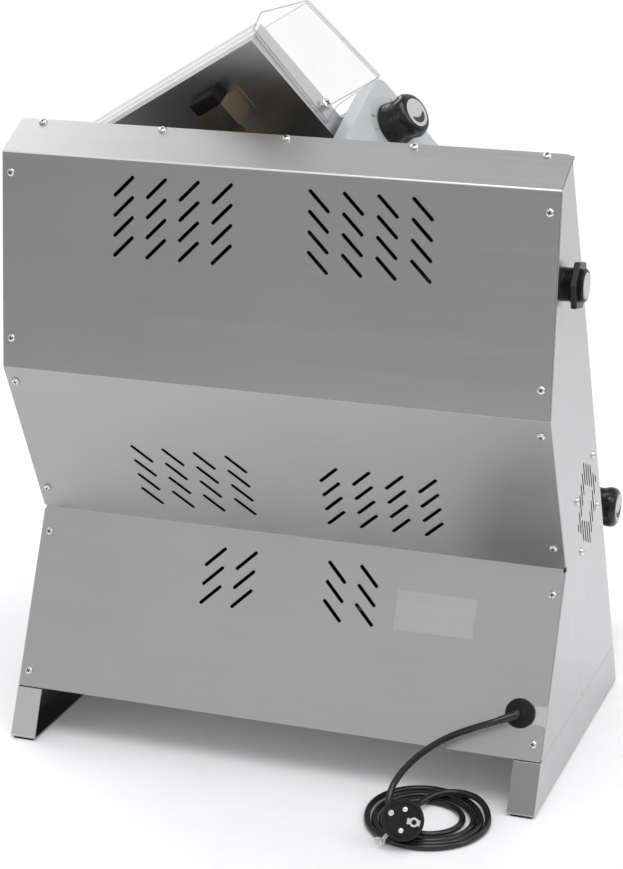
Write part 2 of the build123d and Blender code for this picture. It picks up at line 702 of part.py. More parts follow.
    # Chute: a plate with three rims, and ears that meet the cheeks
    chute_half = half - CHUTE_INSET
    with BuildPart() as chute:
        with BuildSketch(unit.offset(CHUTE_Z)):
            with Locations((0, (CHUTE_START + chute_top) / 2)):
                Rectangle(2 * chute_half, chute_top - CHUTE_START)
            with Locations((0, (CHUTE_START + EAR_TOP) / 2)):
                Rectangle(2 * half, EAR_TOP - CHUTE_START)
        extrude(amount=SHEET)
        for side in (-1, 1):
            with BuildSketch(unit.offset(CHUTE_Z)):
                with Locations((side * (chute_half - SHEET / 2), (RIM_START + chute_top) / 2)):
                    Rectangle(SHEET, chute_top - RIM_START)
            extrude(amount=RIM)
        with BuildSketch(unit.offset(CHUTE_Z)):
            with Locations((0, chute_top - SHEET / 2)):
                Rectangle(2 * chute_half, SHEET)
        extrude(amount=TOP_RIM)
        with BuildSketch(across(unit, -chute_half, HINGE_Y, HINGE_Z)):
            Circle(HINGE_R)
        extrude(amount=2 * chute_half, mode=Mode.SUBTRACT)
    save(chute, f"{name}_chute")

    # Clear guard that swings on the chute's rims; the upper one also closes the chute's top end
    wall_inner = chute_half + 0.3
    closed_top = name == "upper"
    guard_top = chute_top + (GUARD + STRIP_SWING if closed_top else 0)
    wall_points = (
        (guard_top, CHUTE_Z + (10 if closed_top else 2)),
        (guard_top + 2, CHUTE_Z + 36),
        (chute_top - 28, 166.0),
        (56.0, 177.0),
        (82.0, 93.0),
        (82.0, CHUTE_Z + 4),
    )
    with BuildPart() as guard:
        for start in (-wall_inner - GUARD, wall_inner):
            with BuildSketch(across(unit, start)):
                with BuildLine():
                    Polyline(*wall_points, close=True)
                make_face()
                with Locations((HINGE_Y, HINGE_Z)):
                    Circle(HINGE_R + RUNNING, mode=Mode.SUBTRACT)
            extrude(amount=GUARD)
        with BuildSketch(across(unit, -wall_inner)):
            with BuildLine():
                Line(wall_points[2], wall_points[3])
                offset(amount=GUARD, side=Side.LEFT)
            make_face()
        extrude(amount=2 * wall_inner)
        if closed_top:
            strip_z = wall_points[0][1] + TOP_STRIP / 2
            with BuildSketch(across(unit, -wall_inner)):
                with Locations((guard_top - GUARD / 2, strip_z)):
                    Rectangle(GUARD, TOP_STRIP)
            extrude(amount=2 * wall_inner)
    save(guard, f"{name}_guard")

    # Gearmotor behind the front panel and its pinion
    box_length, box_bottom, box_top, box_back = GEARBOX
    motor_length, motor_y, motor_z, motor_r = MOTOR
    box_face = half + CHEEK - 3
    with BuildPart() as gearmotor:
        with BuildSketch(across(unit, box_face - box_length)):
            with Locations(((box_bottom + box_top) / 2, box_back / 2)):
                Rectangle(box_top - box_bottom, -box_back)
        extrude(amount=box_length)
        with BuildSketch(across(unit, box_face - box_length, motor_y, motor_z)):
            Circle(motor_r)
        extrude(amount=-motor_length)
        with BuildSketch(across(unit, box_face, 0, PINION_Z)):
            Circle(6 + RUNNING)
        extrude(amount=-20, mode=Mode.SUBTRACT)
    save(gearmotor, f"{name}_gearmotor")
    with BuildPart() as pinion:
        with BuildSketch(across(unit, gear_start, 0, PINION_Z)):
            with BuildLine():
                Polyline(*tooth_points(PINION_TEETH, pi / 2 + pi / PINION_TEETH), close=True)
            make_face()
        extrude(amount=GEAR_WIDTH)
        with BuildSketch(across(unit, box_face - 18, 0, PINION_Z)):
            Circle(6)
        extrude(amount=gear_start - box_face + 18)
    save(pinion, f"{name}_motor_pinion")


for unit_name, (x, z, tilt, half, chute_top) in UNITS.items():
    make_unit(unit_name, x, z, tilt, half, chute_top)

# Tie rods, hinge screws and rear scraper blades of both units
with BuildPart() as tie_rods:
    for x, z, tilt, half, chute_top in UNITS.values():
        with BuildSketch(across(unit_plane(x, z, tilt), -half, TIE_Y, TIE_Z)):
            Circle(TIE_R)
        extrude(amount=2 * half)
save(tie_rods, "tie_rods")

with BuildPart() as guard_screws:
    for x, z, tilt, half, chute_top in UNITS.values():
        unit = unit_plane(x, z, tilt)
        rim_outer = half - CHUTE_INSET
        for side in (-1, 1):
            for start, length, radius in (
                (rim_outer - SHEET - 4, 4, 4.5),
                (rim_outer - SHEET, SHEET + 0.3 + GUARD + 0.2, HINGE_R),
                (rim_outer + GUARD + 0.5, 3, 5.5),
            ):
                with BuildSketch(across(unit, side * start, HINGE_Y, HINGE_Z)):
                    Circle(radius)
                extrude(amount=side * length)
save(guard_screws, "guard_screws")

with BuildPart() as rear_scrapers:
    for x, z, tilt, half, chute_top in UNITS.values():
        with BuildSketch(blade_plane(unit_plane(x, z, tilt), REAR_AXIS, -1, -half)):
            Rectangle(BLADE_REACH, BLADE, rotation=BLADE_LEAN)
        extrude(amount=2 * half)
save(rear_scrapers, "rear_scrapers")

# Bracket behind the upper chute, a hat section on an arm from the front panel, and its rubber stop
upper = unit_plane(*UNITS["upper"][:3])
hat_x, hat_width, hat_height = HAT
hat_start, hat_end = HAT_Y
with BuildPart() as chute_bracket:
    with BuildSketch(across(upper, hat_x - BRACKET_ARM / 2)):
        with BuildLine():
            Polyline(
                (BRACKET_FOOT[0], SHEET), (BRACKET_FOOT[1], SHEET), (BRACKET_FOOT[1], CHUTE_Z - 12),
                (hat_start, CHUTE_Z - 12), (hat_start, CHUTE_Z), (BRACKET_FOOT[0], CHUTE_Z), close=True
            )
        make_face()
    extrude(amount=BRACKET_ARM)
    with BuildSketch(across(upper, hat_x - hat_width / 2)):
        with Locations(((hat_start + hat_end) / 2, CHUTE_Z - hat_height / 2)):
            Rectangle(hat_end - hat_start, hat_height)
    extrude(amount=hat_width)
    with BuildSketch(across(upper, hat_x - hat_width / 2 - HAT_FLANGE)):
        with Locations(((hat_start + hat_end) / 2, CHUTE_Z - SHEET / 2)):
            Rectangle(hat_end - hat_start, SHEET)
    extrude(amount=hat_width + 2 * HAT_FLANGE)
save(chute_bracket, "chute_bracket")
with BuildPart() as chute_stop:
    with BuildSketch(across(upper, hat_x - hat_width / 2)):
        with Locations((hat_end + STOP_LENGTH / 2, CHUTE_Z - hat_height / 2)):
            RectangleRounded(STOP_LENGTH, hat_height, 2)
    extrude(amount=hat_width)
save(chute_stop, "chute_stop")

# Balance pan on its pivot pin
pan_plane = unit_plane(PAN_X, PAN_Z, 0)
with BuildPart() as balance_pan:
    with BuildSketch(pan_plane.offset(PAN_LEVEL)):
        with Locations((0, 15 - (PAN_DROP + 15) / 2)):
            RectangleRounded(PAN_WIDTH, PAN_DROP + 15, 14)
    extrude(amount=SHEET)
    with BuildSketch(pan_plane.offset(PAN_LEVEL)):
        with Locations((0, -PAN_DROP + SHEET / 2)):
            Rectangle(PAN_WIDTH - 30, SHEET)
    extrude(amount=PAN_LIP)
    with BuildSketch(pan_plane.offset(PAN_LEVEL - 8)):
        Circle(10)
    extrude(amount=18)
    with BuildSketch(pan_plane.offset(PAN_LEVEL - 10)):
        Circle(PAN_PIN_R + RUNNING)
    extrude(amount=30, mode=Mode.SUBTRACT)
save(balance_pan, "balance_pan")
with BuildPart() as balance_pivot:
    with BuildSketch(pan_plane.offset(SHEET)):
        Circle(PAN_PIN_R)
    extrude(amount=PAN_LEVEL + 16 - SHEET)
    with BuildSketch(pan_plane.offset(SHEET)):
        Circle(12)
    extrude(amount=4)
    with BuildSketch(pan_plane.offset(PAN_LEVEL + 11)):
        Circle(8)
    extrude(amount=5)
save(balance_pivot, "balance_pivot")

# Exit tray, hooked against the foot of the front panel
tray_back = 51.0
tray_path = [
    (front_y(tray_back + 11) - SHEET / cos(FRONT_SLOPE), tray_back + 11),
    (front_y(tray_back) - SHEET / cos(FRONT_SLOPE), tray_back),
    (-190.0, 44.0),
    (TRAY_FRONT + 12, 44.0),
    (TRAY_FRONT, 54.0),
]
with BuildPart() as exit_tray:
    with BuildSketch(Plane.YZ.offset(CASE_X - TRAY_WIDTH / 2)):
        with BuildLine():
            FilletPolyline(*tray_path, radius=4)
            offset(amount=SHEET, side=Side.RIGHT)
        make_face()
    extrude(amount=TRAY_WIDTH)
save(exit_tray, "exit_tray")

# Cable gland in the cover's notch
gland_face = Plane(gland_spot)
with BuildPart() as cable_gland:
    with BuildSketch(gland_face.offset(-SHEET - 4)):
        Circle(12.5)
    extrude(amount=4)
    with BuildSketch(gland_face.offset(-SHEET)):
        Circle(NOTCH / 2 - 0.1)
    extrude(amount=SHEET)
    with BuildSketch(gland_face):
        Circle(GLAND_R)
    extrude(amount=5)
    gland_rings = cable_gland.edges().filter_by(GeomType.CIRCLE)
    fillet(gland_rings.group_by(Axis(gland_face.origin, gland_face.z_dir))[-1], 2)
    with Locations(gland_face.offset(5).location):
        Sphere(7.5)
save(cable_gland, "cable_gland")

# Mains lead
corner_radii = []
for before, here, after in zip(CORD_ROUTE, CORD_ROUTE[1:], CORD_ROUTE[2:]):
    run_in = Vector(*here) - Vector(*before)
    run_out = Vector(*after) - Vector(*here)
    half_turn = radians(run_in.get_angle(run_out)) / 2
    corner_radii.append(0.45 * min(run_in.length, run_out.length) / tan(half_turn))
print("cord radii", [round(radius, 1) for radius in corner_radii])
with BuildPart() as power_cord:
    with BuildLine() as cord_line:
        FilletPolyline(*CORD_ROUTE, radius=corner_radii)
    with BuildSketch(Plane(origin=CORD_ROUTE[0], z_dir=cord_line.line % 0)):
        Circle(CORD_R)
    sweep()
save(power_cord, "power_cord")
cord_volume = pi * CORD_R**2 * cord_line.wire().length
print("cord volume", round(power_cord.part.volume, 1), round(cord_volume, 1))

# Coil of the lead: turns side by side on the floor
with BuildPart() as cord_coil:
    with BuildSketch(Plane(origin=(*COIL_CENTRE, 0), x_dir=(1, 0, 0), z_dir=(0, -1, 0))):
        with Locations(((COIL_R[0] + COIL_R[1]) / 2, CORD_R)):
            RectangleRounded(COIL_R[1] - COIL_R[0], 2 * CORD_R, CORD_R - 0.1)
    revolve(axis=Axis((*COIL_CENTRE, 0), (0, 0, 1)))
save(cord_coil, "cord_coil")

# Two-pin plug with an earth socket, narrowing to the end of the lead
plug_level = Vector(0, 0, 1).cross(Vector(*PLUG_FACING)).normalized()
plug_up = Vector(*PLUG_FACING).normalized().cross(plug_level)
plug_across = plug_level * cos(PLUG_ROLL) + plug_up * sin(PLUG_ROLL)
plug_face = Plane(origin=PLUG_FACE, x_dir=plug_across, z_dir=PLUG_FACING)
with BuildPart() as plug:
    with BuildSketch(Plane(origin=PLUG_FACE, x_dir=plug_face.x_dir, z_dir=plug_face.y_dir)):
        with BuildLine():
            Polyline((0, PLUG_TAIL), (0, 0), (PLUG_R, 0), (PLUG_R, PLUG_RIM))
            Spline((PLUG_R, PLUG_RIM), (13.8, 20), (8.2, 32), (PLUG_BOOT[1], PLUG_BOOT[0]))
            Polyline(
                (PLUG_BOOT[1], PLUG_BOOT[0]), (CORD_R, PLUG_BOOT[0]), (CORD_R, PLUG_TAIL), (0, PLUG_TAIL)
            )
        make_face()
    revolve(axis=Axis(PLUG_FACE, PLUG_FACING))
    with BuildSketch(plug_face):
        with GridLocations(0, PIN_SPACING, 1, 2):
            Circle(PIN_R)
    extrude(amount=PIN_LENGTH)
    with BuildSketch(plug_face):
        with Locations((10, 0)):
            Circle(2.4)
    extrude(amount=-12, mode=Mode.SUBTRACT)
save(plug, "plug")
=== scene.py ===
from math import cos, pi, radians, sin, tan

import bmesh
import bpy
from mathutils import Matrix, Vector


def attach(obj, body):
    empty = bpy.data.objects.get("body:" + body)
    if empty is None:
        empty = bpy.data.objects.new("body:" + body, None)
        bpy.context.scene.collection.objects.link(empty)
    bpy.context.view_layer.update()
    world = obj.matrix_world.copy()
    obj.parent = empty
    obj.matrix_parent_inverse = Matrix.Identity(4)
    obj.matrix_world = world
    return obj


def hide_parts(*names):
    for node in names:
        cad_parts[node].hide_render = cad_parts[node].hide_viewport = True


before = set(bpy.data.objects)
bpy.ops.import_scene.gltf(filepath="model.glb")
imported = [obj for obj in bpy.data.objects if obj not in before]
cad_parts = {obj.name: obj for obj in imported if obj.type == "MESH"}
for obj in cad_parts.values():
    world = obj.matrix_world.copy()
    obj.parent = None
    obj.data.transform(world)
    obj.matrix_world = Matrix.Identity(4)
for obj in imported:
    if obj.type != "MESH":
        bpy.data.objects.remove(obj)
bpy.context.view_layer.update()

# Dough rolling machine seen from the rear. Metres, +Z up, operator at -Y, rear cover at +Y.
# Turned profiles are radius and height in millimetres.
MM = 0.001

# Camera of the photograph
CAMERA_AT = Vector((-0.7428, 2.2092, 1.0113))
CAMERA_BACK = Vector((-0.3189, 0.8971, 0.3057))
CAMERA_RIGHT = Vector((-0.9422, -0.3350, 0.0))
CAMERA_LENS = 100.13
CAMERA_SENSOR = 36.0

# Casing, as in the part's source: the folds of the rear cover as Y and Z, then places on its faces
CASE_X = -1.0 * MM
HALF_WIDTH = 265.0 * MM
LEFT_FACE = CASE_X - HALF_WIDTH
TOP_FRONT = (186.2 * MM, 602.4 * MM)
TOP_REAR = (230.0 * MM, 579.4 * MM)
UPPER_END = (245.8 * MM, 376.6 * MM)
WAIST = (167.4 * MM, 210.9 * MM)
LOWER_END = (240.5 * MM, 48.7 * MM)
FRONT_SLOPE = radians(24.43)
FRONT_FOOT_Y = -78.2 * MM
FAN_CENTRE = (90.4 * MM, 250.7 * MM)
GRILLE_REACH = 62.0 * MM  # from the fan's centre to past its outermost slots
SWITCH_CENTRE = (208.5 * MM, 492.3 * MM)
GLAND_AT = (239.4 * MM, -135.9 * MM)  # from the middle of the lower panel's upper edge
PLATE_AT = (147.0 * MM, -56.0 * MM)  # from there too
PLATE_SIZE = (78.0 * MM, 38.0 * MM)
PLATE_CORNER = 1.5 * MM
PLATE_THICK = 0.4 * MM
EDGE_BEVEL = 0.2 * MM  # of thin plates, at most a quarter of their thickness

# Screws: head radius, head height, shank radius and shank length in millimetres
COVER_SCREW = (3.8, 2.6, 2.0, 8.0)
HINGE_SCREW = (5.5, 3.0, 3.0, 5.0)
HEAD_SHARES = [(1, 0), (1, 0.40), (0.97, 0.56), (0.88, 0.74), (0.70, 0.90), (0.45, 0.98), (0, 1)]
RECESS_ARM = 0.60  # shares of the head's radius
RECESS_HALF = 0.13
RECESS_TAPER = [(0.38, 0.62), (1.3, 1.15)]  # share of the head's height, size of the cross there
SCREW_X = 255.3 * MM
SCREW_ROWS = [(19.5, 175.2), (17.0, 156.0), (24.3, 162.6)]  # millimetres down the three panels
STRIP_SCREW_PITCH = 120.6 * MM
STRIP_SCREW_DOWN = 4.6 * MM
FAN_SCREW_OUT = 32.5 * MM  # from the fan's centre, both ways
SCREW_TURN, SCREW_TURN_STEP = 25, 37  # degrees: the first screw's recess, and on to the next
HINGE_TURN = radians(20)
NUT_DOWN = 9.0 * MM
NUT_PROFILE = [(0, 0), (3.6, 0), (4.5, 0.8), (4.5, 4.0), (0, 4.0)]

# Roller units: X, Z and tilt of each one's middle on the front slope, and half its rollers' length
UNIT_PLACE = {"upper": (61.1 * MM, 442.0 * MM, radians(33.0)), "lower": (0.0, 105.2 * MM, 0.0)}
UNIT_HALF = {"upper": 152.0 * MM, "lower": 200.0 * MM}
CHEEK = 23.0 * MM
CHEEK_TOP = 136.0 * MM
BUMPER_Y = -4.6 * MM
BUMPER_PROFILE = [(0, 0), (5.0, 0), (4.8, 1.2), (3.8, 2.3), (2.0, 2.9), (0, 3.1)]
HINGE_AXIS = (94.4 * MM, 78.7 * MM)
HINGE_INSET = 3.5 * MM  # seat of the hinge screw's head, from the rollers' end

# Knob with its finger scallops, seat for the cap and a crescent of painted shade on the cap
KNOB_AXIS = (36.0 * MM, 99.5 * MM)
KNOB_FACE = 31.0 * MM  # cap face from the cheek
KNOB_PROFILE = [
    (0, 0.8), (21.0, 0.8), (21.6, 1.6), (21.5, 3.0), (21.1, 5.0), (20.7, 7.0), (20.3, 9.0),
    (20.0, 11.0), (19.8, 13.0), (19.8, 15.0), (20.1, 17.0), (20.7, 19.0), (21.2, 21.0),
    (21.4, 23.0), (21.2, 25.0), (20.4, 27.0), (18.8, 29.0), (17.0, 30.2), (15.4, 30.8),
    (13.9, 30.8), (13.9, 29.3), (0, 29.3),
]
KNOB_LOBES = 8
KNOB_SCALLOP = 0.09  # depth of the scallops, as a share of the radius
SCALLOP_ENDS = (4.0, 28.5)  # millimetres up the knob
SCALLOP_EASE = 6.0  # millimetres over which they grow and fade
SCALLOP_EDGE = 1.5  # over 1 makes the lobes wider than the scallops
CRESCENT_ARCS = [(0.0, 10.2, 75), (-9.0, 13.6, -40)]  # centre, radius, half angle in degrees
CRESCENT_STEPS = 20
CRESCENT_THICK = 0.25 * MM
CRESCENT_TURN = radians(160)

# Dial under each knob
DIAL_R = 30.0 * MM
DIAL_SIDES = 72
DIAL_THICK = 0.3 * MM
MARK_COUNT = 10
MARK_TURN = 30  # degrees to the first mark and between marks
MARK_LENGTHS = (5.0 * MM, 3.2 * MM, 3.2 * MM)
MARK_WIDTH = 0.9 * MM
MARK_CORNER = 0.3 * MM
MARK_THICK = 0.1 * MM
MARK_MARGIN = 1.2 * MM

# Guard walls, from the chute's top round to its foot: millimetres up the chute and outward
GUARD_WALL = {
    "upper": [(193.9, 70), (195.9, 96), (161, 166), (56, 177), (82, 93), (82, 64)],
    "lower": [(122, 62), (124, 96), (94, 166), (56, 177), (82, 93), (82, 64)],
}
GUARD_STRIP = {"upper": [(193.9, 70), (193.9, 83)], "lower": []}
GUARD_INSET = 6.7 * MM  # inner faces of the walls, from the rollers' end
GUARD_THICK = 3.0 * MM
GUARD_BEVEL = 0.5 * MM
WALL_CORNER = 3.0 * MM
SHEET_CORNER = 0.8 * MM
PLAIN, EDGE, BEVEL = 0, 1, 2  # finishes: a piece's own, and a painted highlight and a painted shade for a guard's edges and bevels

# Push switch: foot behind the panel, thread, mouth round the button
SWITCH_FOOT = [
    (0, -14.0), (14.2, -14.0), (15.0, -13.2), (15.0, -4.5), (17.6, -4.5), (18.0, -4.1),
    (18.0, -1.9), (17.6, -1.5), (15.0, -1.5), (14.2, 0.4),
]
THREAD_TURN = [(14.2, 0.6), (15.0, 1.1), (15.0, 1.4), (14.2, 1.9)]
THREAD_TURNS = 12
THREAD_PITCH = 1.5
SWITCH_MOUTH = [(14.2, 18.7), (13.7, 19.2), (12.6, 19.2), (12.05, 18.7), (12.05, 11.2), (0, 11.2)]

# Mains lead: the part's route, then the coil's turns and its tail to the plug
CORD_R = 3.1 * MM
CORD_ROUTE = [
    (-0.2380, 0.2365, 0.0900),
    (-0.2242, 0.2455, 0.0860),
    (-0.2093, 0.2508, 0.0810),
    (-0.1944, 0.2535, 0.0747),
    (-0.1802, 0.2547, 0.0669),
    (-0.1671, 0.2560, 0.0576),
    (-0.1554, 0.2586, 0.0476),
    (-0.1456, 0.2633, 0.0376),
    (-0.1386, 0.2702, 0.0283),
    (-0.1349, 0.2788, 0.0200),
    (-0.1350, 0.2889, 0.0126),
    (-0.1388, 0.2996, 0.0068),
    (-0.1453, 0.3107, 0.0033),
    (-0.1556, 0.3201, 0.0031),
]
COIL_CENTRE = Vector((-0.174, 0.298, 0.0))
COIL_LANDING = 50  # degrees round the coil where the lead lies down
COIL_STEP = 20
COIL_INNER = 28.6 * MM
COIL_SECOND = (380, 40.8 * MM)  # where the second turn starts, clear of the lead above it
COIL_PITCH = 6.5 * MM
COIL_LEAVES = 1250
COIL_TAIL = [  # degrees, radius, height: over the turns and across the middle
    (1266, 0.0569, 0.0034),
    (1281, 0.0573, 0.0052),
    (1296, 0.0577, 0.0080),
    (1310, 0.0573, 0.0100),
    (1323, 0.0550, 0.0105),
    (1336, 0.0503, 0.0104),
    (1349.3, 0.0430, 0.0101),
    (1363.3, 0.0327, 0.0095),
    (1394, 0.0222, 0.0060),
]
TAIL_DEPTHS = (55.5 * MM, 35 * MM, 34 * MM)  # behind the plug's face
COIL_BACK = 295  # degrees round the coil where its turns fan out
COIL_FAN = 18.0 * MM  # how far the last turn fans out there
GLAND_PROFILE = [
    (0, -9.0), (8.0, -9.0), (9.4, -7.0), (9.4, -1.6), (8.6, -1.5), (8.6, 0.0), (13.3, 0.0),
    (13.8, 0.5), (13.8, 1.6), (13.2, 2.6), (12.0, 3.2), (7.6, 3.6), (6.9, 4.2), (6.6, 7.4),
    (6.0, 8.2), (0, 8.2),
]
SLEEVE_START = 4.0 * MM  # out of the lower panel
SLEEVE_LENGTH = 26.0 * MM
SLEEVE_R = (4.5 * MM, 3.35 * MM)
SLEEVE_SIDES = 32

# Tie over the two outer turns, in millimetres
TIE_ANGLE = 66  # degrees round the coil
TIE_STEPS = 24
TIE_BAND = [(-2.2, 0), (-2.2, 0.7), (2.2, 0.7), (2.2, 0)]  # along the lead, outward
TIE_SLACK = 0.5
TIE_CREASE = 0.25
TIE_CREASES = 7
TIE_LIFT = 0.3  # off the floor
TIE_SQUARE = 0.7  # under 1 squares the band's shoulders
TIE_ENDS = [(-1, 0.5), (1, 0.9)]  # side, share of the reach
END_STEPS = 12
END_START = (1.0, 4.5)  # out from the band, up
END_REACH = (9.0, 5.0, 3.0)  # outward, sideways, up
END_TWIST = 9
END_BEND = 3
END_HALF = (1.6, 0.4)  # half width, half thickness

# Plug
PLUG_FACE = Vector((-0.1695, 0.3539, 0.0286))
PLUG_FACING = Vector((-0.263, 0.852, 0.452)).normalized()
PLUG_ROLL = radians(-11)
PLUG_SEAT = -1.4 * MM  # what stands on the plug's face starts this far inside it
PLUG_PROFILE = [
    (0, 1.2), (15.0, 1.2), (15.6, 0), (18.2, 0), (18.8, 0.5), (19.0, 1.4), (19.0, 9.5),
    (18.3, 11.0), (17.1, 14.0), (15.6, 17.0), (13.8, 20.0), (12.1, 23.5), (10.7, 26.5),
    (9.4, 29.0), (8.0, 31.5), (6.8, 33.5), (6.1, 34.5), (6.4, 35.2), (6.4, 36.6), (5.6, 37.2),
    (5.8, 38.0), (5.8, 39.4), (5.0, 40.0), (5.2, 40.8), (5.1, 42.2), (4.4, 42.8), (4.4, 44.0),
    (3.0, 44.0), (0, 43.6),
]
PIN_SPACING = 19.0 * MM
PIN_PROFILE = [(0, 0), (2.4, 0), (2.4, 18.2), (2.208, 19.4), (1.44, 20.1), (0, 20.4)]
EARTH_X = 10.0 * MM
EARTH_PROFILE = [
    (2.2, 0), (4.2, 0), (4.2, 1.1), (3.8, 1.4), (2.6, 1.4), (2.2, 1.0), (2.2, 0),
]
TAB_OUT = 5.2 * MM
TAB_SIZE = (2.6 * MM, 5.6 * MM)
TAB_CORNER = 0.6 * MM
TAB_THICK = 1.2 * MM
PLUG_SCREW_AT = (-11.8 * MM, 4.0 * MM)
PLUG_SCREW_PROFILE = [
    (0, 0), (2.7, 0), (2.7, 0.7), (2.2, 1.1), (1.1, 1.2), (0.8, 0.4), (0, 0.3),
]

# Studio
FLOOR_R = 1.7
FLOOR_Y = 0.1
FLOOR_TONES = ((0.87, 0.87, 0.88), (0.90, 0.90, 0.91))
FLOOR_GRAIN = 60.0
FLOOR_LIFT = 0.06  # brings the lit floor up to the white of the background
SKY_TONES = [  # height from 0 to 1, colour
    (0.40, (0.42, 0.42, 0.43, 1.0)),
    (0.72, (0.80, 0.80, 0.81, 1.0)),
    (1.00, (0.58, 0.58, 0.59, 1.0)),
]
SKY_WHITE = (1.0, 1.0, 1.0, 1.0)
SKY_FRONT = (0.35, 0.75)  # how far toward the front the white starts and is full
LAMPS = [  # name, place, aim, size, power
    ("front_left_softbox", (1.9, -1.3, 2.3), (0, 0, 0.3), 1.6, 22.0),
    ("right_softbox", (-2.4, 0.3, 1.9), (0, 0, 0.3), 1.6, 14.0),
    ("top_softbox", (-0.6, 0.9, 2.8), (0, 0.3, 0), 2.2, 35.0),
]


# Places
def spot_frame(origin, x_axis, z_axis):
    """Placing matrix from an origin, an X direction and a Z direction."""
    z_axis = Vector(z_axis).normalized()
    x_axis = Vector(x_axis).normalized()
    turn = Matrix((x_axis, z_axis.cross(x_axis), z_axis)).transposed().to_4x4()
    return Matrix.Translation(Vector(origin)) @ turn


def moved(place, x=0.0, y=0.0, z=0.0):
    """Place moved along its own axes."""
    return place @ Matrix.Translation((x, y, z))


def turned(place, angle, axis="Z"):
    """Place turned about one of its own axes."""
    return place @ Matrix.Rotation(angle, 4, axis)


def panel_frame(start, end):
    """Outer face of a rear panel: X to the right as seen from behind, Y up, from its upper edge."""
    run = Vector((0, end[0] - start[0], end[1] - start[1])).normalized()
    return spot_frame((CASE_X, *start), (-1, 0, 0), (0, -run.z, run.y))


def left_side_spot(centre, x_axis):
    """Place on the outer face of the left side panel, looking out of it."""
    return spot_frame((LEFT_FACE, *centre), x_axis, (-1, 0, 0))


def unit_frame(name):
    """Roller unit: X along the rollers, Y up the chute, Z outward."""
    x, z, tilt = UNIT_PLACE[name]
    outward = Vector((0, -cos(FRONT_SLOPE), sin(FRONT_SLOPE)))
    along = Vector((cos(tilt), -sin(tilt) * sin(FRONT_SLOPE), -sin(tilt) * cos(FRONT_SLOPE)))
    return spot_frame((CASE_X + x, FRONT_FOOT_Y + z * tan(FRONT_SLOPE), z), along, outward)


def knob_face_frame(name):
    """Plane of the cheek under a knob, looking out along the knob."""
    place = unit_frame(name)
    axes = place.to_3x3()
    return spot_frame(
        place @ Vector((-UNIT_HALF[name] - CHEEK, *KNOB_AXIS)), axes.col[1], -axes.col[0])


strip_panel = panel_frame(TOP_FRONT, TOP_REAR)
upper_panel = panel_frame(TOP_REAR, UPPER_END)
middle_panel = panel_frame(UPPER_END, WAIST)
lower_panel = panel_frame(WAIST, LOWER_END)
gland_place = moved(lower_panel, *GLAND_AT)
plug_frame = spot_frame(PLUG_FACE, Vector((0, 0, 1)).cross(PLUG_FACING), PLUG_FACING)
plug_frame = turned(plug_frame, PLUG_ROLL)


def add_object(name, data, place=Matrix()):
    """Object of a mesh, curve, camera or lamp, in the scene."""
    item = bpy.data.objects.new(name, data)
    item.matrix_world = place
    bpy.context.collection.objects.link(item)
    return item


# Camera
camera_data = bpy.data.cameras.new("photo_camera")
camera_data.lens = CAMERA_LENS
camera_data.sensor_width = CAMERA_SENSOR
bpy.context.scene.camera = add_object(
    "photo_camera", camera_data, spot_frame(CAMERA_AT, CAMERA_RIGHT, CAMERA_BACK))


# Nodes
def put(tree, value, socket):
    """Sets a socket to a plain value, or links a node's output to it."""
    if isinstance(value, bpy.types.NodeSocket):
        tree.links.new(value, socket)
    else:
        socket.default_value = value


def math_node(tree, operation, *values):
    node = tree.nodes.new("ShaderNodeMath")
    node.operation = operation
    for value, socket in zip(values, node.inputs):
        put(tree, value, socket)
    return node.outputs[0]


def vector_node(tree, operation, first, second=None, scale=None):
    node = tree.nodes.new("ShaderNodeVectorMath")
    node.operation = operation
    for value, label in ((first, 0), (second, 1), (scale, "Scale")):
        if value is not None:
            put(tree, value, node.inputs[label])
    return node.outputs["Value" if operation in ("DOT_PRODUCT", "DISTANCE") else "Vector"]


def noise_node(tree, vector, scale, detail, roughness):
    node = tree.nodes.new("ShaderNodeTexNoise")
    for value, label in (
            (vector, "Vector"), (scale, "Scale"), (detail, "Detail"), (roughness, "Roughness")):
        put(tree, value, node.inputs[label])
    return node.outputs[0]


def range_node(tree, value, start, end, low=0.0, high=1.0):
    node = tree.nodes.new("ShaderNodeMapRange")
    for setting, label in (
            (value, "Value"), (start, "From Min"), (end, "From Max"), (low, "To Min"),
            (high, "To Max")):
        put(tree, setting, node.inputs[label])
    return node


def axis_parts(tree, vector):
    node = tree.nodes.new("ShaderNodeSeparateXYZ")
    tree.links.new(vector, node.inputs["Vector"])
    return node.outputs


def mixed_colour(tree, mask, first, second):
    node = tree.nodes.new("ShaderNodeMix")
    node.data_type = "RGBA"
    for value, label in ((mask, "Factor"), (first, "A"), (second, "B")):
        put(tree, value, node.inputs[label])
    return node.outputs["Result"]


# Node groups that several finishes share; noises have a scale, a detail and a roughness
STREAK_STRETCH = 0.992  # share of the run along the streaks that is taken away
FINE_STREAKS = (900.0, 3.0, 0.65)
BROAD_STREAKS = (160.0, 2.0, 0.5)
STREAK_SHARES = (0.6, 0.4)  # fine, broad
HANDLING_CLOUDS = (7.0, 3.0, 0.55)
MOULD_GRAIN = (1.0, 3.0, 0.6)
GLOSS_PATCHES = (24.0, 3.0, 0.6)


def new_group(name, label, kind, default, outputs):
    """Group with one input and some outputs that are values."""
    group = bpy.data.node_groups.new(name, "ShaderNodeTree")
    socket = group.interface.new_socket(label, in_out="INPUT", socket_type=kind)
    socket.default_value = default
    for output in outputs:
        group.interface.new_socket(output, in_out="OUTPUT", socket_type="NodeSocketFloat")
    given = group.nodes.new("NodeGroupInput").outputs[label]
    place = group.nodes.new("ShaderNodeTexCoord").outputs["Object"]
    return group, given, place, group.nodes.new("NodeGroupOutput").inputs


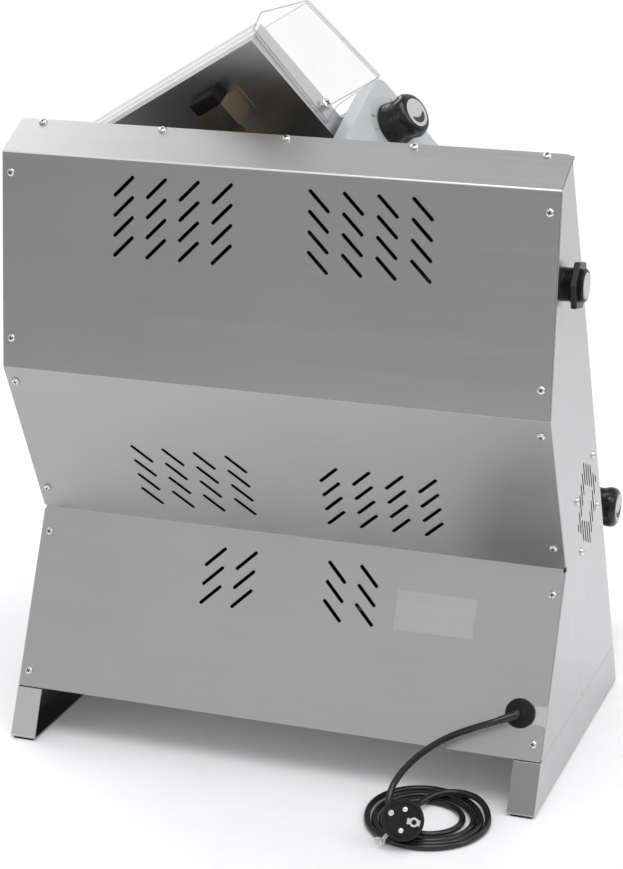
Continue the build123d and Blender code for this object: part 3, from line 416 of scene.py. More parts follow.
def make_brushed_grain():
    """Streaks along a direction, with soft clouds from handling."""
    group, direction, place, results = new_group(
        "brushed_grain", "Direction", "NodeSocketVector", (1.0, 0.0, 0.0), ("Streak", "Cloud"))
    along = vector_node(group, "DOT_PRODUCT", place, direction)
    shorter = math_node(group, "MULTIPLY", along, STREAK_STRETCH)
    taken = vector_node(group, "SCALE", direction, scale=shorter)
    stretched = vector_node(group, "SUBTRACT", place, taken)
    fine, broad = (noise_node(group, stretched, *noise) for noise in (FINE_STREAKS, BROAD_STREAKS))
    fine = math_node(group, "MULTIPLY", fine, STREAK_SHARES[0])
    put(group, math_node(group, "MULTIPLY_ADD", broad, STREAK_SHARES[1], fine), results["Streak"])
    put(group, noise_node(group, place, *HANDLING_CLOUDS), results["Cloud"])
    return group


def make_moulded_grain():
    """Fine spark-eroded texture of moulded plastic, with slight gloss changes."""
    group, size, place, results = new_group(
        "moulded_grain", "Size", "NodeSocketFloat", 900.0, ("Grain", "Gloss"))
    scaled = vector_node(group, "SCALE", place, scale=size)
    put(group, noise_node(group, scaled, *MOULD_GRAIN), results["Grain"])
    put(group, noise_node(group, place, *GLOSS_PATCHES), results["Gloss"])
    return group


BRUSHED_GRAIN = make_brushed_grain()
MOULDED_GRAIN = make_moulded_grain()


# Finishes
FINISH = {}
NOISE_SPAN = (0.3, 0.7)  # where most of a noise's values are
CLOUD_SHARE = 0.5
SHEET_BLUE = 1.008  # blue of a sheet's grey, and of its faces with painted light and shade
FACE_BLUE = 0.99
SHEET_BUMP = (0.03, 0.0001)  # strength, distance
TURNED_BUMP = (0.04, 0.0002)
TURNED_SHADE = 0.9
CLEAR_IOR = 1.49
CLEAR_SHADE = 0.97
CLEAR_GRAIN = 300.0
MASK_LIMITS = (0.75, 0.92)  # cosines at which a face starts to count and is full
SLOT_WALL = 0.5  # a slot's walls look sideways by less than this
SHADED_EDGE = (0.08, 0.11)  # tones of painted shade on the cover's cut edges and seams, the side panel's slot walls and the legs' top edges
SHADED_EDGE_LIMITS = (0.25, 0.45)
MIDDLE_OUT = (0, 0.905, -0.428)
LOWER_OUT = (0, 0.912, 0.411)
LOWER_TOP = (0, -0.411, 0.912)
BEND_HIGHLIGHT_OUT = (0, 0.835, 0.550)  # the bend between the top strip and the upper panel, which takes a painted highlight
BEND_HIGHLIGHT_LIMITS = (0.885, 0.93, UPPER_END[1])
SIDE_SHEET = ((0, 0.41, 0.91), (0.45, 0.49), (0.26, 0.33))  # grain, tones, roughness


def new_finish(name, **constants):
    """Nodes and shader of a new finish; constants are set on the shader's own sockets."""
    FINISH[name] = bpy.data.materials.new(name)
    FINISH[name].use_nodes = True
    tree = FINISH[name].node_tree
    shader = tree.nodes["Principled BSDF"]
    for label, value in constants.items():
        shader.inputs[label.replace("_", " ")].default_value = value
    return tree, shader


def add_group(tree, group, **values):
    """Outputs of a group placed in a material."""
    node = tree.nodes.new("ShaderNodeGroup")
    node.node_tree = group
    for label, value in values.items():
        node.inputs[label].default_value = value
    return node.outputs


def feed(tree, shader, **outputs):
    """Links outputs that change over the surface to the shader."""
    for label, output in outputs.items():
        tree.links.new(output, shader.inputs[label.replace("_", " ")])


def spread(tree, noise, low=0.0, high=1.0):
    """Noise spread over a range."""
    return range_node(tree, noise, *NOISE_SPAN, low, high).outputs["Result"]


def two_tone(tree, mask, first, second):
    """Colour between two tones by a mask."""
    return mixed_colour(tree, mask, (*first, 1.0), (*second, 1.0))


def add_bump(tree, shader, height, strength, distance):
    bump = tree.nodes.new("ShaderNodeBump")
    for value, label in ((strength, "Strength"), (distance, "Distance"), (height, "Height")):
        put(tree, value, bump.inputs[label])
    feed(tree, shader, Normal=bump.outputs["Normal"])


def facing_mask(tree, direction, none=MASK_LIMITS[0], full=MASK_LIMITS[1], above=None):
    """One where the surface looks along a direction and lies above a height, zero elsewhere."""
    place = tree.nodes.new("ShaderNodeTexCoord").outputs
    toward = vector_node(tree, "DOT_PRODUCT", place["Normal"], direction)
    mask = range_node(tree, toward, none, full).outputs["Result"]
    if above is None:
        return mask
    higher = math_node(tree, "GREATER_THAN", axis_parts(tree, place["Object"])["Z"], above)
    return math_node(tree, "MULTIPLY", mask, higher)


def slot_shade_mask(tree, centre, reach):
    """One on the walls of a side panel's slots near a centre, where painted shade goes, zero on the
    panel's own faces.
    """
    place = tree.nodes.new("ShaderNodeTexCoord").outputs
    sideways = math_node(tree, "ABSOLUTE", axis_parts(tree, place["Normal"])["X"])
    away = vector_node(tree, "DISTANCE", place["Object"], centre)
    return math_node(tree, "MULTIPLY", math_node(tree, "LESS_THAN", sideways, SLOT_WALL),
                     math_node(tree, "LESS_THAN", away, reach))


def greys(tones, blue):
    return [(tone, tone, tone * blue) for tone in tones]


def brushed_steel(name, direction, tones=(0.447, 0.484), rough=(0.29, 0.36), faces=(), slots=None):
    """Brushed sheet; each of faces is a direction, the tones of painted light and shade on the side
    that looks along it and, for one that is not alone in its direction, the limits of its mask;
    slots get painted shade."""
    tree, shader = new_finish(name, Metallic=1.0)
    grain = add_group(tree, BRUSHED_GRAIN, Direction=direction)
    cloud = math_node(tree, "MULTIPLY", grain["Cloud"], CLOUD_SHARE)
    mask = spread(tree, math_node(tree, "MULTIPLY_ADD", grain["Streak"], 1 - CLOUD_SHARE, cloud))
    colour = two_tone(tree, mask, *greys(tones, SHEET_BLUE))
    painted_masks = [(facing_mask(tree, facing, *limits), painted_tones) for facing, painted_tones, *limits in faces]
    if slots:
        painted_masks.append((slot_shade_mask(tree, *slots), SHADED_EDGE))
    for chosen, painted_tones in painted_masks:
        toned = two_tone(tree, mask, *greys(painted_tones, FACE_BLUE))
        colour = mixed_colour(tree, chosen, colour, toned)
    feed(tree, shader, Base_Color=colour, Roughness=spread(tree, grain["Streak"], *rough))
    add_bump(tree, shader, grain["Streak"], *SHEET_BUMP)


def moulded_plastic(name, dark, light, rough, size=900.0, bump=0.08, depth=0.0003, **constants):
    """Plastic, rubber or paint with a fine grain and slight changes of tone and gloss."""
    tree, shader = new_finish(name, **constants)
    grain = add_group(tree, MOULDED_GRAIN, Size=size)
    feed(tree, shader, Base_Color=two_tone(tree, spread(tree, grain["Gloss"]), dark, light),
         Roughness=spread(tree, grain["Gloss"], *rough))
    add_bump(tree, shader, grain["Grain"], bump, depth)


def turned_metal(name, colour, axis, rough=(0.16, 0.30)):
    """Metal with fine rings round its axis."""
    tree, shader = new_finish(name, Metallic=1.0)
    grain = add_group(tree, BRUSHED_GRAIN, Direction=axis)
    shade = [value * TURNED_SHADE for value in colour]
    feed(tree, shader, Base_Color=two_tone(tree, spread(tree, grain["Cloud"]), shade, colour),
         Roughness=spread(tree, grain["Streak"], *rough))
    add_bump(tree, shader, grain["Streak"], *TURNED_BUMP)


def clear_sheet(name, tone, veil, rough):
    """Clear bent sheet: a faint veil with a few handling marks."""
    tree, shader = new_finish(name, IOR=CLEAR_IOR)
    gloss = add_group(tree, MOULDED_GRAIN, Size=CLEAR_GRAIN)["Gloss"]
    shade = [value * CLEAR_SHADE for value in tone]
    feed(tree, shader, Base_Color=two_tone(tree, spread(tree, gloss), shade, tone),
         Roughness=spread(tree, gloss, *rough), Alpha=spread(tree, gloss, *veil))


upper_axes = unit_frame("upper").to_3x3()
upper_along, upper_up = tuple(upper_axes.col[0]), tuple(upper_axes.col[1])
upper_under = tuple(-upper_axes.col[2])
# Painted shade darkens the middle panel, a painted highlight lies on the bend under the top strip,
# and painted shade lies on the cover's sideways edges and on its faces that look up the lower
# panel.
brushed_steel("cover_steel", (1, 0, 0), faces=[
    (MIDDLE_OUT, (0.375, 0.41)), (BEND_HIGHLIGHT_OUT, (0.90, 0.95), *BEND_HIGHLIGHT_LIMITS),
    ((-1, 0, 0), SHADED_EDGE, *SHADED_EDGE_LIMITS), ((1, 0, 0), SHADED_EDGE, *SHADED_EDGE_LIMITS),
    (LOWER_TOP, SHADED_EDGE)])
# The side panel's faces that look along the lower panel take a painted light tone, and the grille's
# slot walls take painted shade.
brushed_steel("side_steel", *SIDE_SHEET, [(LOWER_OUT, (0.62, 0.67))],
              ((LEFT_FACE, *FAN_CENTRE), GRILLE_REACH))
# The legs' rear faces take painted tones, painted shade on the left leg and painted light on the
# right leg, and their faces that look up take painted shade.
brushed_steel("left_leg_steel_painted_shade", *SIDE_SHEET,
              [(LOWER_OUT, (0.305, 0.335)), ((0, 0, 1), SHADED_EDGE)])
brushed_steel("right_leg_steel_painted_light", *SIDE_SHEET,
              [(LOWER_OUT, (0.565, 0.62)), ((0, 0, 1), SHADED_EDGE)])
# The chute's underside and its rims that look up the chute take painted shade, darker than its top
# face.
brushed_steel("chute_steel", upper_along, (0.52, 0.57), (0.30, 0.38),
              [(upper_under, (0.31, 0.38)), (upper_up, (0.36, 0.40))])
brushed_steel("tray_steel", (0, 1, 0))
brushed_steel("plate_silver", (1, 0, 0), (0.50, 0.56), (0.3, 0.42))
turned_metal("screw_steel", (0.78, 0.77, 0.75), (0, 0, 1))
turned_metal("shaft_steel", (0.70, 0.70, 0.69), (1, 0, 0))
turned_metal("bracket_steel", (0.47, 0.41, 0.34), (0, 0, 1), (0.25, 0.4))
turned_metal("milled_aluminium", (0.66, 0.66, 0.67), (1, 0, 0), (0.28, 0.42))
moulded_plastic("cheek_plastic", (0.43, 0.44, 0.445), (0.48, 0.49, 0.495), (0.38, 0.52))
moulded_plastic("dial_face", (0.40, 0.41, 0.42), (0.45, 0.46, 0.47), (0.35, 0.5), 600.0, 0.03)
moulded_plastic("roller_plastic", (0.80, 0.80, 0.77), (0.87, 0.87, 0.85), (0.35, 0.5), 400.0)
moulded_plastic("knob_black", (0.004, 0.004, 0.0045), (0.008, 0.008, 0.009), (0.10, 0.20),
                700.0, 0.03, Specular_IOR_Level=0.4)
moulded_plastic("switch_black", (0.005, 0.005, 0.006), (0.011, 0.011, 0.012), (0.28, 0.42),
                Specular_IOR_Level=0.25)
moulded_plastic("cap_grey", (0.42, 0.43, 0.44), (0.49, 0.50, 0.51), (0.3, 0.45), 600.0, 0.05)
moulded_plastic("gland_rubber", (0.005, 0.005, 0.006), (0.012, 0.012, 0.012), (0.45, 0.6),
                700.0, Specular_IOR_Level=0.2)
moulded_plastic("plug_black", (0.005, 0.005, 0.006), (0.012, 0.012, 0.013), (0.32, 0.48),
                800.0, Specular_IOR_Level=0.25)
moulded_plastic("cord_sheath", (0.004, 0.004, 0.005), (0.011, 0.011, 0.012), (0.16, 0.26),
                500.0, 0.05, 0.0002, Specular_IOR_Level=0.5)
moulded_plastic("motor_paint", (0.10, 0.11, 0.12), (0.17, 0.18, 0.19), (0.45, 0.65), 300.0, 0.2)
moulded_plastic("tie_white", (0.74, 0.74, 0.73), (0.84, 0.84, 0.83), (0.4, 0.55), 500.0)
# Ink of the dial marks; the knob caps' crescents of painted shade use it too.
moulded_plastic("dial_ink_and_cap_shade", (0.010, 0.010, 0.012), (0.02, 0.02, 0.022), (0.4, 0.55))
# Near-black painted shade laid on the faces of the screws' cross recesses.
moulded_plastic("recess_painted_shade", (0.02, 0.02, 0.02), (0.05, 0.05, 0.05), (0.5, 0.7))
clear_sheet("guard_clear", (0.92, 0.92, 0.94), (0.04, 0.07), (0.03, 0.08))
# The guards' edge bands take a grey painted highlight and their bevels a near-black painted shade
# outline.
clear_sheet("guard_edge_painted_highlight", (0.55, 0.56, 0.58), (0.32, 0.45), (0.15, 0.25))
clear_sheet("guard_bevel_painted_shade", (0.16, 0.165, 0.175), (0.62, 0.78), (0.15, 0.25))
clear_sheet("bumper_clear", (0.85, 0.86, 0.88), (0.35, 0.45), (0.06, 0.12))

# Finish of the nodes whose names end so
NODE_FINISH = {
    "cover_steel": ("rear_cover", "front_panel"),
    "side_steel": ("side_panel",),
    "left_leg_steel_painted_shade": ("left_leg",),
    "right_leg_steel_painted_light": ("right_leg",),
    "tray_steel": ("base_tray", "exit_tray", "balance_pan"),
    "chute_steel": ("_chute",),
    "bracket_steel": ("chute_bracket",),
    "screw_steel": ("case_screws", "guard_screws"),
    "shaft_steel": ("tie_rods", "_shaft", "_gear", "pinion", "balance_pivot"),
    "milled_aluminium": ("carriage",),
    "cheek_plastic": ("scrapers", "_cheek", "drive_cover"),
    "roller_plastic": ("_roller",),
    "cap_grey": ("knob_cap", "switch_button"),
    "knob_black": ("_knob",),
    "guard_clear": ("_guard",),
    "motor_paint": ("gearmotor",),
    "gland_rubber": ("foot_pads", "chute_stop", "cable_gland"),
    "switch_black": ("fan_frame", "fan_rotor", "switch_sleeve", "switch_nut"),
    "cord_sheath": ("power_cord", "cord_coil"),
    "plug_black": ("plug",),
}
for node_name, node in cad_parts.items():
    node_finish = next(key for key, endings in NODE_FINISH.items() if node_name.endswith(endings))
    node.data.materials.clear()
    node.data.materials.append(FINISH[node_finish])


# Mesh helpers
def add_lathe(mesh, place, profile, segments, flute=None):
    """Turned form about the place's Z axis; a flute gives the share of the radius that is left."""
    rings = []
    for radius, height in profile:
        ring = []
        for index in range(segments if radius else 1):
            angle = 2 * pi * index / segments
            reach = radius * MM * (flute(angle, height) if flute else 1.0)
            spot = Vector((reach * cos(angle), reach * sin(angle), height * MM))
            ring.append(mesh.verts.new(place @ spot))
        rings.append(ring)
    for lower, upper in zip(rings, rings[1:]):
        if len(lower) == len(upper):
            add_band(mesh, lower, upper)
            continue
        for index in range(segments):
            after = (index + 1) % segments
            if len(lower) == 1:
                mesh.faces.new((lower[0], upper[index], upper[after]))
            else:
                mesh.faces.new((lower[index], lower[after], upper[0]))


def add_band(mesh, lower, upper, finish=PLAIN):
    """Faces between two loops of as many points."""
    for index in range(len(lower)):
        after = (index + 1) % len(lower)
        face = mesh.faces.new((lower[index], lower[after], upper[after], upper[index]))
        face.material_index = finish


def add_tube(mesh, loops, finishes=None):
    """Closed skin over loops of as many points, with a finish for each band."""
    for lower, upper, finish in zip(loops, loops[1:], finishes or [PLAIN] * len(loops)):
        add_band(mesh, lower, upper, finish)
    mesh.faces.new(loops[-1])
    mesh.faces.new(list(reversed(loops[0])))


def inset_outline(outline, distance):
    """Outline moved inward by a small distance."""
    points = [Vector(point) for point in outline]
    area = sum(a.x * b.y - b.x * a.y for a, b in zip(points, points[1:] + points[:1]))
    inset = []
    for before, here, after in zip(points[-1:] + points[:-1], points, points[1:] + points[:1]):
        along = ((here - before).normalized() + (after - here).normalized()).normalized()
        inset.append(here + Vector((-along.y, along.x)) * (distance if area > 0 else -distance))
    return inset


def add_layers(mesh, place, outline, layers):
    """Closed plate from layers of one outline: height, inset, and finish of the band below."""
    loops = []
    for height, distance, _ in layers:
        edge = inset_outline(outline, distance) if distance else outline
        loops.append([mesh.verts.new(place @ Vector((x, y, height))) for x, y in edge])
    add_tube(mesh, loops, [finish for _, _, finish in layers[1:]])


def add_plate(mesh, place, outline, depth):
    """Flat plate from an outline on the place's XY plane, with a small bevel round its face."""
    bevel = min(0.25 * depth, EDGE_BEVEL)
    add_layers(mesh, place, outline, [
        (0.0, 0.0, PLAIN), (depth - bevel, 0.0, PLAIN), (depth, bevel, PLAIN)])


def rounded_rectangle(width, height, corner, steps=6):
    points = []
    for x_side, y_side, start in ((1, 1, 0), (-1, 1, 90), (-1, -1, 180), (1, -1, 270)):
        for index in range(steps + 1):
            angle = radians(start + 90 * index / steps)
            points.append((x_side * (width / 2 - corner) + corner * cos(angle),
                           y_side * (height / 2 - corner) + corner * sin(angle)))
    return points


def eased(outline, radius, steps=4):
    """Outline with its corners rounded by short curves."""
    points = []
    corners = [Vector((*corner, 0)) for corner in outline]
    for before, here, after in zip(corners[-1:] + corners[:-1], corners, corners[1:] + corners[:1]):
        start = here + (before - here).normalized() * radius
        end = here + (after - here).normalized() * radius
        for step in range(steps + 1):
            share = step / steps
            point = start * (1 - share) ** 2 + here * 2 * share * (1 - share) + end * share ** 2
            points.append((point.x, point.y))
    return points


def carved(solid, tool):
    """Boolean difference of two meshes; the cut faces take the second finish."""
    for face in tool.faces:
        face.material_index = 1
    halves = []
    for label, shape in (("carved_solid", solid), ("carving_tool", tool)):
        bmesh.ops.recalc_face_normals(shape, faces=shape.faces)
        data = bpy.data.meshes.new(label)
        shape.to_mesh(data)
        shape.free()
        data.materials.append(None)
        data.materials.append(None)
        halves.append(add_object(label, data))
    cut = halves[0].modifiers.new("cut", "BOOLEAN")
    cut.operation = "DIFFERENCE"
    cut.solver = "EXACT"
    cut.object = halves[1]
    result = bmesh.new()
    result.from_mesh(halves[0].evaluated_get(bpy.context.evaluated_depsgraph_get()).to_mesh())
    for half in halves:
        data = half.data
        bpy.data.objects.remove(half)
        bpy.data.meshes.remove(data)
    return result


def add_copies(mesh, pattern, places):
    """Adds a copy of a pattern mesh at each place, keeping its finishes."""
    for place in places:
        copies = {vert: mesh.verts.new(place @ vert.co) for vert in pattern.verts}
        for face in pattern.faces:
            copy = mesh.faces.new([copies[vert] for vert in face.verts])
            copy.material_index = face.material_index
    pattern.free()


def make_piece(name, mesh, finish, body, sharp=32.0, others=()):
    """Object from a bmesh that rides on a body and takes its finish from a slot."""
    bmesh.ops.recalc_face_normals(mesh, faces=mesh.faces)
    data = bpy.data.meshes.new(name)
    mesh.to_mesh(data)
    mesh.free()
    data.polygons.foreach_set("use_smooth", [True] * len(data.polygons))
    data.set_sharp_from_angle(angle=radians(sharp))
    for label in (finish, *others):
        data.materials.append(FINISH[label])
    piece = add_object(name, data)
    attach(piece, body)
    return piece


# Mains lead with its coil
def coil_spot(degrees, radius, height):
    angle = radians(degrees)
    return COIL_CENTRE + Vector((radius * cos(angle), radius * sin(angle), height))


def coil_radius(degrees):
    """The first turn clears the lead above it, then the turns lie side by side and fan out."""
    second_from, second_r = COIL_SECOND
    if degrees > second_from:
        grown = (degrees - second_from) / (COIL_LEAVES - second_from)
        fan = COIL_FAN * grown * max(0.0, cos(radians(degrees - COIL_BACK))) ** 2
        return second_r + COIL_PITCH * (degrees - second_from) / 360 + fan
    share = (degrees - COIL_LANDING) / (second_from - COIL_LANDING)
    return COIL_INNER + (second_r - COIL_INNER) * share * share * (3 - 2 * share)


def lead_points():
    points = [Vector(point) for point in CORD_ROUTE]
    for degrees in range(COIL_LANDING + COIL_STEP, COIL_LEAVES + 1, COIL_STEP):
        points.append(coil_spot(degrees, coil_radius(degrees), CORD_R))
    points += [coil_spot(*tail) for tail in COIL_TAIL]
    points += [PLUG_FACE - PLUG_FACING * depth for depth in TAIL_DEPTHS]
    return points


def make_lead():
    curve = bpy.data.curves.new("mains_lead", "CURVE")
    curve.dimensions = "3D"
    curve.bevel_depth = CORD_R
    curve.bevel_resolution = 5
    curve.resolution_u = 6
    curve.use_fill_caps = True
    points = lead_points()
    spline = curve.splines.new("NURBS")
    spline.points.add(len(points) - 1)
    for control, point in zip(spline.points, points):
        control.co = (*point, 1.0)
    spline.order_u = 3
    spline.use_endpoint_u = True
    curve.materials.append(FINISH["cord_sheath"])
    piece = add_object("mains_lead", curve)
    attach(piece, "casing")
    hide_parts("power_cord", "cord_coil")
    return piece


def lead_path():
    """Points along the middle of the lead."""
    thin = lead.data.copy()
    thin.bevel_depth = 0
    holder = add_object("lead_middle", thin)
    seen = holder.evaluated_get(bpy.context.evaluated_depsgraph_get())
    data = bpy.data.meshes.new_from_object(seen)
    points = [vert.co.copy() for vert in data.vertices]
    bpy.data.objects.remove(holder)
    bpy.data.meshes.remove(data)
    bpy.data.curves.remove(thin)
    return points


def make_gland():
    """Gland with its collar."""
    gland = bmesh.new()
    add_lathe(gland, gland_place, GLAND_PROFILE, segments=56)
    piece = make_piece("gland_grommet", gland, "gland_rubber", "casing")
    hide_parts("cable_gland")


def make_lead_sleeve():
    """Tapered sleeve that leads the cord out of its gland."""
    points = [gland_place @ Vector((0, 0, SLEEVE_START))] + lead_path()
    run = 0.0
    sleeve = bmesh.new()
    rings = []
    for index, here in enumerate(points[:-1]):
        if run > SLEEVE_LENGTH:
            break
        along = (points[index + 1] - points[max(index - 1, 0)]).normalized()
        side = along.cross(Vector((0, 0, 1))).normalized()
        up = side.cross(along)
        reach = SLEEVE_R[0] + (SLEEVE_R[1] - SLEEVE_R[0]) * run / SLEEVE_LENGTH
        angles = [2 * pi * spoke / SLEEVE_SIDES for spoke in range(SLEEVE_SIDES)]
        rings.append([sleeve.verts.new(here + (side * cos(angle) + up * sin(angle)) * reach)
                      for angle in angles])
        run += (points[index + 1] - here).length
    add_tube(sleeve, rings)
    make_piece("lead_sleeve", sleeve, "cord_sheath", "casing")


def make_plug():
    """Two-pin plug with an earth socket: shell, pins, earth contact and a screw on its face."""
    def metal_piece(name, mesh):
        return make_piece(name, mesh, "screw_steel", "casing")

    shell = bmesh.new()
    add_lathe(shell, turned(plug_frame, pi, "X"), PLUG_PROFILE, segments=64)
    shell_piece = make_piece("plug_shell", shell, "plug_black", "casing")
    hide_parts("plug")

    pins, earth, screw = bmesh.new(), bmesh.new(), bmesh.new()
    seat = moved(plug_frame, z=PLUG_SEAT)
    add_lathe(earth, moved(seat, EARTH_X), EARTH_PROFILE, segments=32)
    for side in (-1, 1):
        add_lathe(pins, moved(seat, y=side * PIN_SPACING / 2), PIN_PROFILE, segments=32)
        tab = moved(seat, EARTH_X + side * TAB_OUT)
        add_plate(earth, tab, rounded_rectangle(*TAB_SIZE, TAB_CORNER), TAB_THICK)
    add_lathe(screw, moved(seat, *PLUG_SCREW_AT), PLUG_SCREW_PROFILE, segments=24)
    return [shell_piece, metal_piece("plug_pins", pins), metal_piece("plug_earth", earth),
            metal_piece("plug_screw", screw)]


def make_coil_tie():
    """White tie over the two outer turns, with its twisted ends."""
    turns = [coil_radius(TIE_ANGLE + 360 * turn) for turn in (2, 3)]
    middle = sum(turns) / 2 / MM
    reach = (turns[1] - turns[0]) / 2 / MM + CORD_R / MM + TIE_SLACK
    rise = 2 * CORD_R / MM + TIE_SLACK
    place = turned(Matrix.Translation(COIL_CENTRE), radians(TIE_ANGLE))
    tie = bmesh.new()
    bands = []
    for index in range(TIE_STEPS + 1):
        angle = pi * index / TIE_STEPS
        ring = []
        for width, grow in TIE_BAND:
            crease = TIE_CREASE * sin(TIE_CREASES * angle + width)
            spot = Vector((middle + (reach + grow + crease) * cos(angle), width + 0.5 * crease,
                           TIE_LIFT + (rise + grow + crease) * sin(angle) ** TIE_SQUARE))
            ring.append(tie.verts.new(place @ (spot * MM)))
        bands.append(ring)
    add_tube(tie, bands)
    for side, lean in TIE_ENDS:
        stem = []
        for step in range(END_STEPS + 1):
            share = step / END_STEPS
            twist = END_TWIST * share + side
            centre = Vector((middle + reach + END_START[0] + END_REACH[0] * share * lean,
                             side * END_REACH[1] * share,
                             END_START[1] + END_REACH[2] * sin(END_BEND * share) * lean))
            across = Vector((0, cos(twist), sin(twist))) * END_HALF[0]
            thick = Vector((0, -sin(twist), cos(twist))) * END_HALF[1]
            stem.append([tie.verts.new(place @ ((centre + corner) * MM)) for corner in (
                -across - thick, across - thick, across + thick, -across + thick)])
        add_tube(tie, stem)
    return make_piece("coil_tie", tie, "tie_white", "casing")


lead = make_lead()
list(make_plug())
make_coil_tie()
make_gland()
make_lead_sleeve()


# Screws
def cross_screw(head_r, head, shank_r, shank):
    """Pan-head screw standing on Z = 0 with a cross recess."""
    profile = [(0, -shank), (shank_r, -shank), (shank_r, 0)]
    profile += [(head_r * across, head * up) for across, up in HEAD_SHARES]
    solid = bmesh.new()
    add_lathe(solid, Matrix(), profile, segments=36)
    arm, half = RECESS_ARM * head_r, RECESS_HALF * head_r
    quarter = [(arm, -half), (arm, half), (half, half)]
    cross = []
    for _ in range(4):
        cross += quarter
        quarter = [(-y, x) for x, y in quarter]
    tool = bmesh.new()
    add_tube(tool, [
        [tool.verts.new(Vector((x * size, y * size, head * up)) * MM) for x, y in cross]
        for up, size in RECESS_TAPER])
    return carved(solid, tool)


def cover_screw_places():
    spots = [moved(strip_panel, step * STRIP_SCREW_PITCH, -STRIP_SCREW_DOWN)
             for step in range(-2, 3)]
    for panel, rows in zip((upper_panel, middle_panel, lower_panel), SCREW_ROWS):
        spots += [moved(panel, side * SCREW_X, -row * MM) for row in rows for side in (-1, 1)]
    fan = left_side_spot(FAN_CENTRE, (0, cos(FRONT_SLOPE), -sin(FRONT_SLOPE)))
    spots += [moved(fan, x * FAN_SCREW_OUT, y * FAN_SCREW_OUT) for x in (-1, 1) for y in (-1, 1)]
    return [turned(spot, radians(SCREW_TURN + SCREW_TURN_STEP * index))
            for index, spot in enumerate(spots)]


def make_screws(name, mesh, node):
    piece = make_piece(name, mesh, "screw_steel", "casing", others=("recess_painted_shade",))
    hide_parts(node)


def make_cover_screws():
    screws = bmesh.new()
    add_copies(screws, cross_screw(*COVER_SCREW), cover_screw_places())
    make_screws("cover_screws", screws, "case_screws")


def make_hinge_screws():
    """Hinge screws of both guards: head outside the guard, nut inside the rim."""
    screws = bmesh.new()
    for name, half in UNIT_HALF.items():
        for side in (-1, 1):
            outside = moved(unit_frame(name), side * (half - HINGE_INSET), *HINGE_AXIS)
            outside = turned(turned(outside, side * pi / 2, "Y"), HINGE_TURN)
            add_copies(screws, cross_screw(*HINGE_SCREW), [outside])
            add_lathe(screws, moved(outside, z=-NUT_DOWN), NUT_PROFILE, segments=6)
    make_screws("hinge_screws", screws, "guard_screws")


make_cover_screws()
make_hinge_screws()


# Push switch, plate, knobs and dials
def make_switch_sleeve():
    """Switch body with a shoulder behind the panel and a threaded neck for its nut."""
    thread = [(radius, height + THREAD_PITCH * turn)
              for turn in range(THREAD_TURNS) for radius, height in THREAD_TURN]
    sleeve = bmesh.new()
    add_lathe(sleeve, left_side_spot(SWITCH_CENTRE, (0, 1, 0)),
              SWITCH_FOOT + thread + SWITCH_MOUTH, segments=64)
    piece = make_piece("switch_body", sleeve, "switch_black", "casing")
    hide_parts("switch_sleeve")


def make_blank_plate():
    """Bare metal plate on the lower panel."""
    plate = bmesh.new()
    outline = rounded_rectangle(*PLATE_SIZE, PLATE_CORNER)
    add_plate(plate, moved(lower_panel, *PLATE_AT), outline, PLATE_THICK)
    make_piece("blank_plate", plate, "plate_silver", "casing")


def scallop(angle, height):
    """Share of a knob's radius that its scallops leave: all at the skirt and round the cap."""
    depth = KNOB_SCALLOP * (0.5 + 0.5 * cos(KNOB_LOBES * angle)) ** SCALLOP_EDGE
    for inside in (height - SCALLOP_ENDS[0], SCALLOP_ENDS[1] - height):
        depth *= min(1.0, max(0.0, inside / SCALLOP_EASE))
    return 1.0 - depth


def make_knob(name):
    """Lobed knob: a skirt, a waist for the fingers and a round end with a seat for the cap."""
    grip = bmesh.new()
    add_lathe(grip, knob_face_frame(name), KNOB_PROFILE, segments=128, flute=scallop)
    piece = make_piece(
        f"{name}_knob_grip", grip, "knob_black", f"{name}_adjuster", sharp=50.0)
    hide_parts(f"{name}_knob")


def make_cap_crescent_shade(name):
    """Crescent of painted shade on a knob's cap."""
    place = turned(moved(knob_face_frame(name), z=KNOB_FACE), CRESCENT_TURN)
    outline = []
    for centre, radius, half in CRESCENT_ARCS:
        for step in range(CRESCENT_STEPS + 1):
            angle = radians(half * (2 * step / CRESCENT_STEPS - 1))
            outline.append(((centre + radius * cos(angle)) * MM, radius * sin(angle) * MM))
    mark = bmesh.new()
    lower, upper = ([mark.verts.new(place @ Vector((x, y, height))) for x, y in outline]
                    for height in (0.0, CRESCENT_THICK))
    add_band(mark, lower, upper)
    last = len(outline) - 1
    for step in range(CRESCENT_STEPS):
        for loop in (lower, upper):
            mark.faces.new((loop[step], loop[step + 1], loop[last - step - 1], loop[last - step]))
    make_piece(f"{name}_knob_cap_shade", mark, "dial_ink_and_cap_shade", f"{name}_adjuster")


def make_dial(name):
    """Dial disc with setting marks round a knob."""
    place = knob_face_frame(name)
    disc = bmesh.new()
    angles = [2 * pi * side / DIAL_SIDES for side in range(DIAL_SIDES)]
    add_plate(disc, place, [(DIAL_R * cos(a), DIAL_R * sin(a)) for a in angles], DIAL_THICK)
    make_piece(f"{name}_dial_face", disc, "dial_face", "casing")
    marks = bmesh.new()
    for index in range(MARK_COUNT):
        length = MARK_LENGTHS[index % len(MARK_LENGTHS)]
        at = turned(place, radians(MARK_TURN * (index + 1)))
        at = moved(at, DIAL_R - MARK_MARGIN - length / 2, 0, DIAL_THICK)
        stroke = rounded_rectangle(length, MARK_WIDTH, MARK_CORNER, steps=2)
        add_plate(marks, at, stroke, MARK_THICK)
    make_piece(f"{name}_dial_marks", marks, "dial_ink_and_cap_shade", "casing")


def make_bumper(name):
    """Small clear bumper on the knob-end cheek's edge."""
    bumper = bmesh.new()
    place = moved(unit_frame(name), -UNIT_HALF[name] - CHEEK / 2, BUMPER_Y, CHEEK_TOP)
    add_lathe(bumper, place, BUMPER_PROFILE, segments=32)
    make_piece(f"{name}_cheek_bumper", bumper, "bumper_clear", "casing")


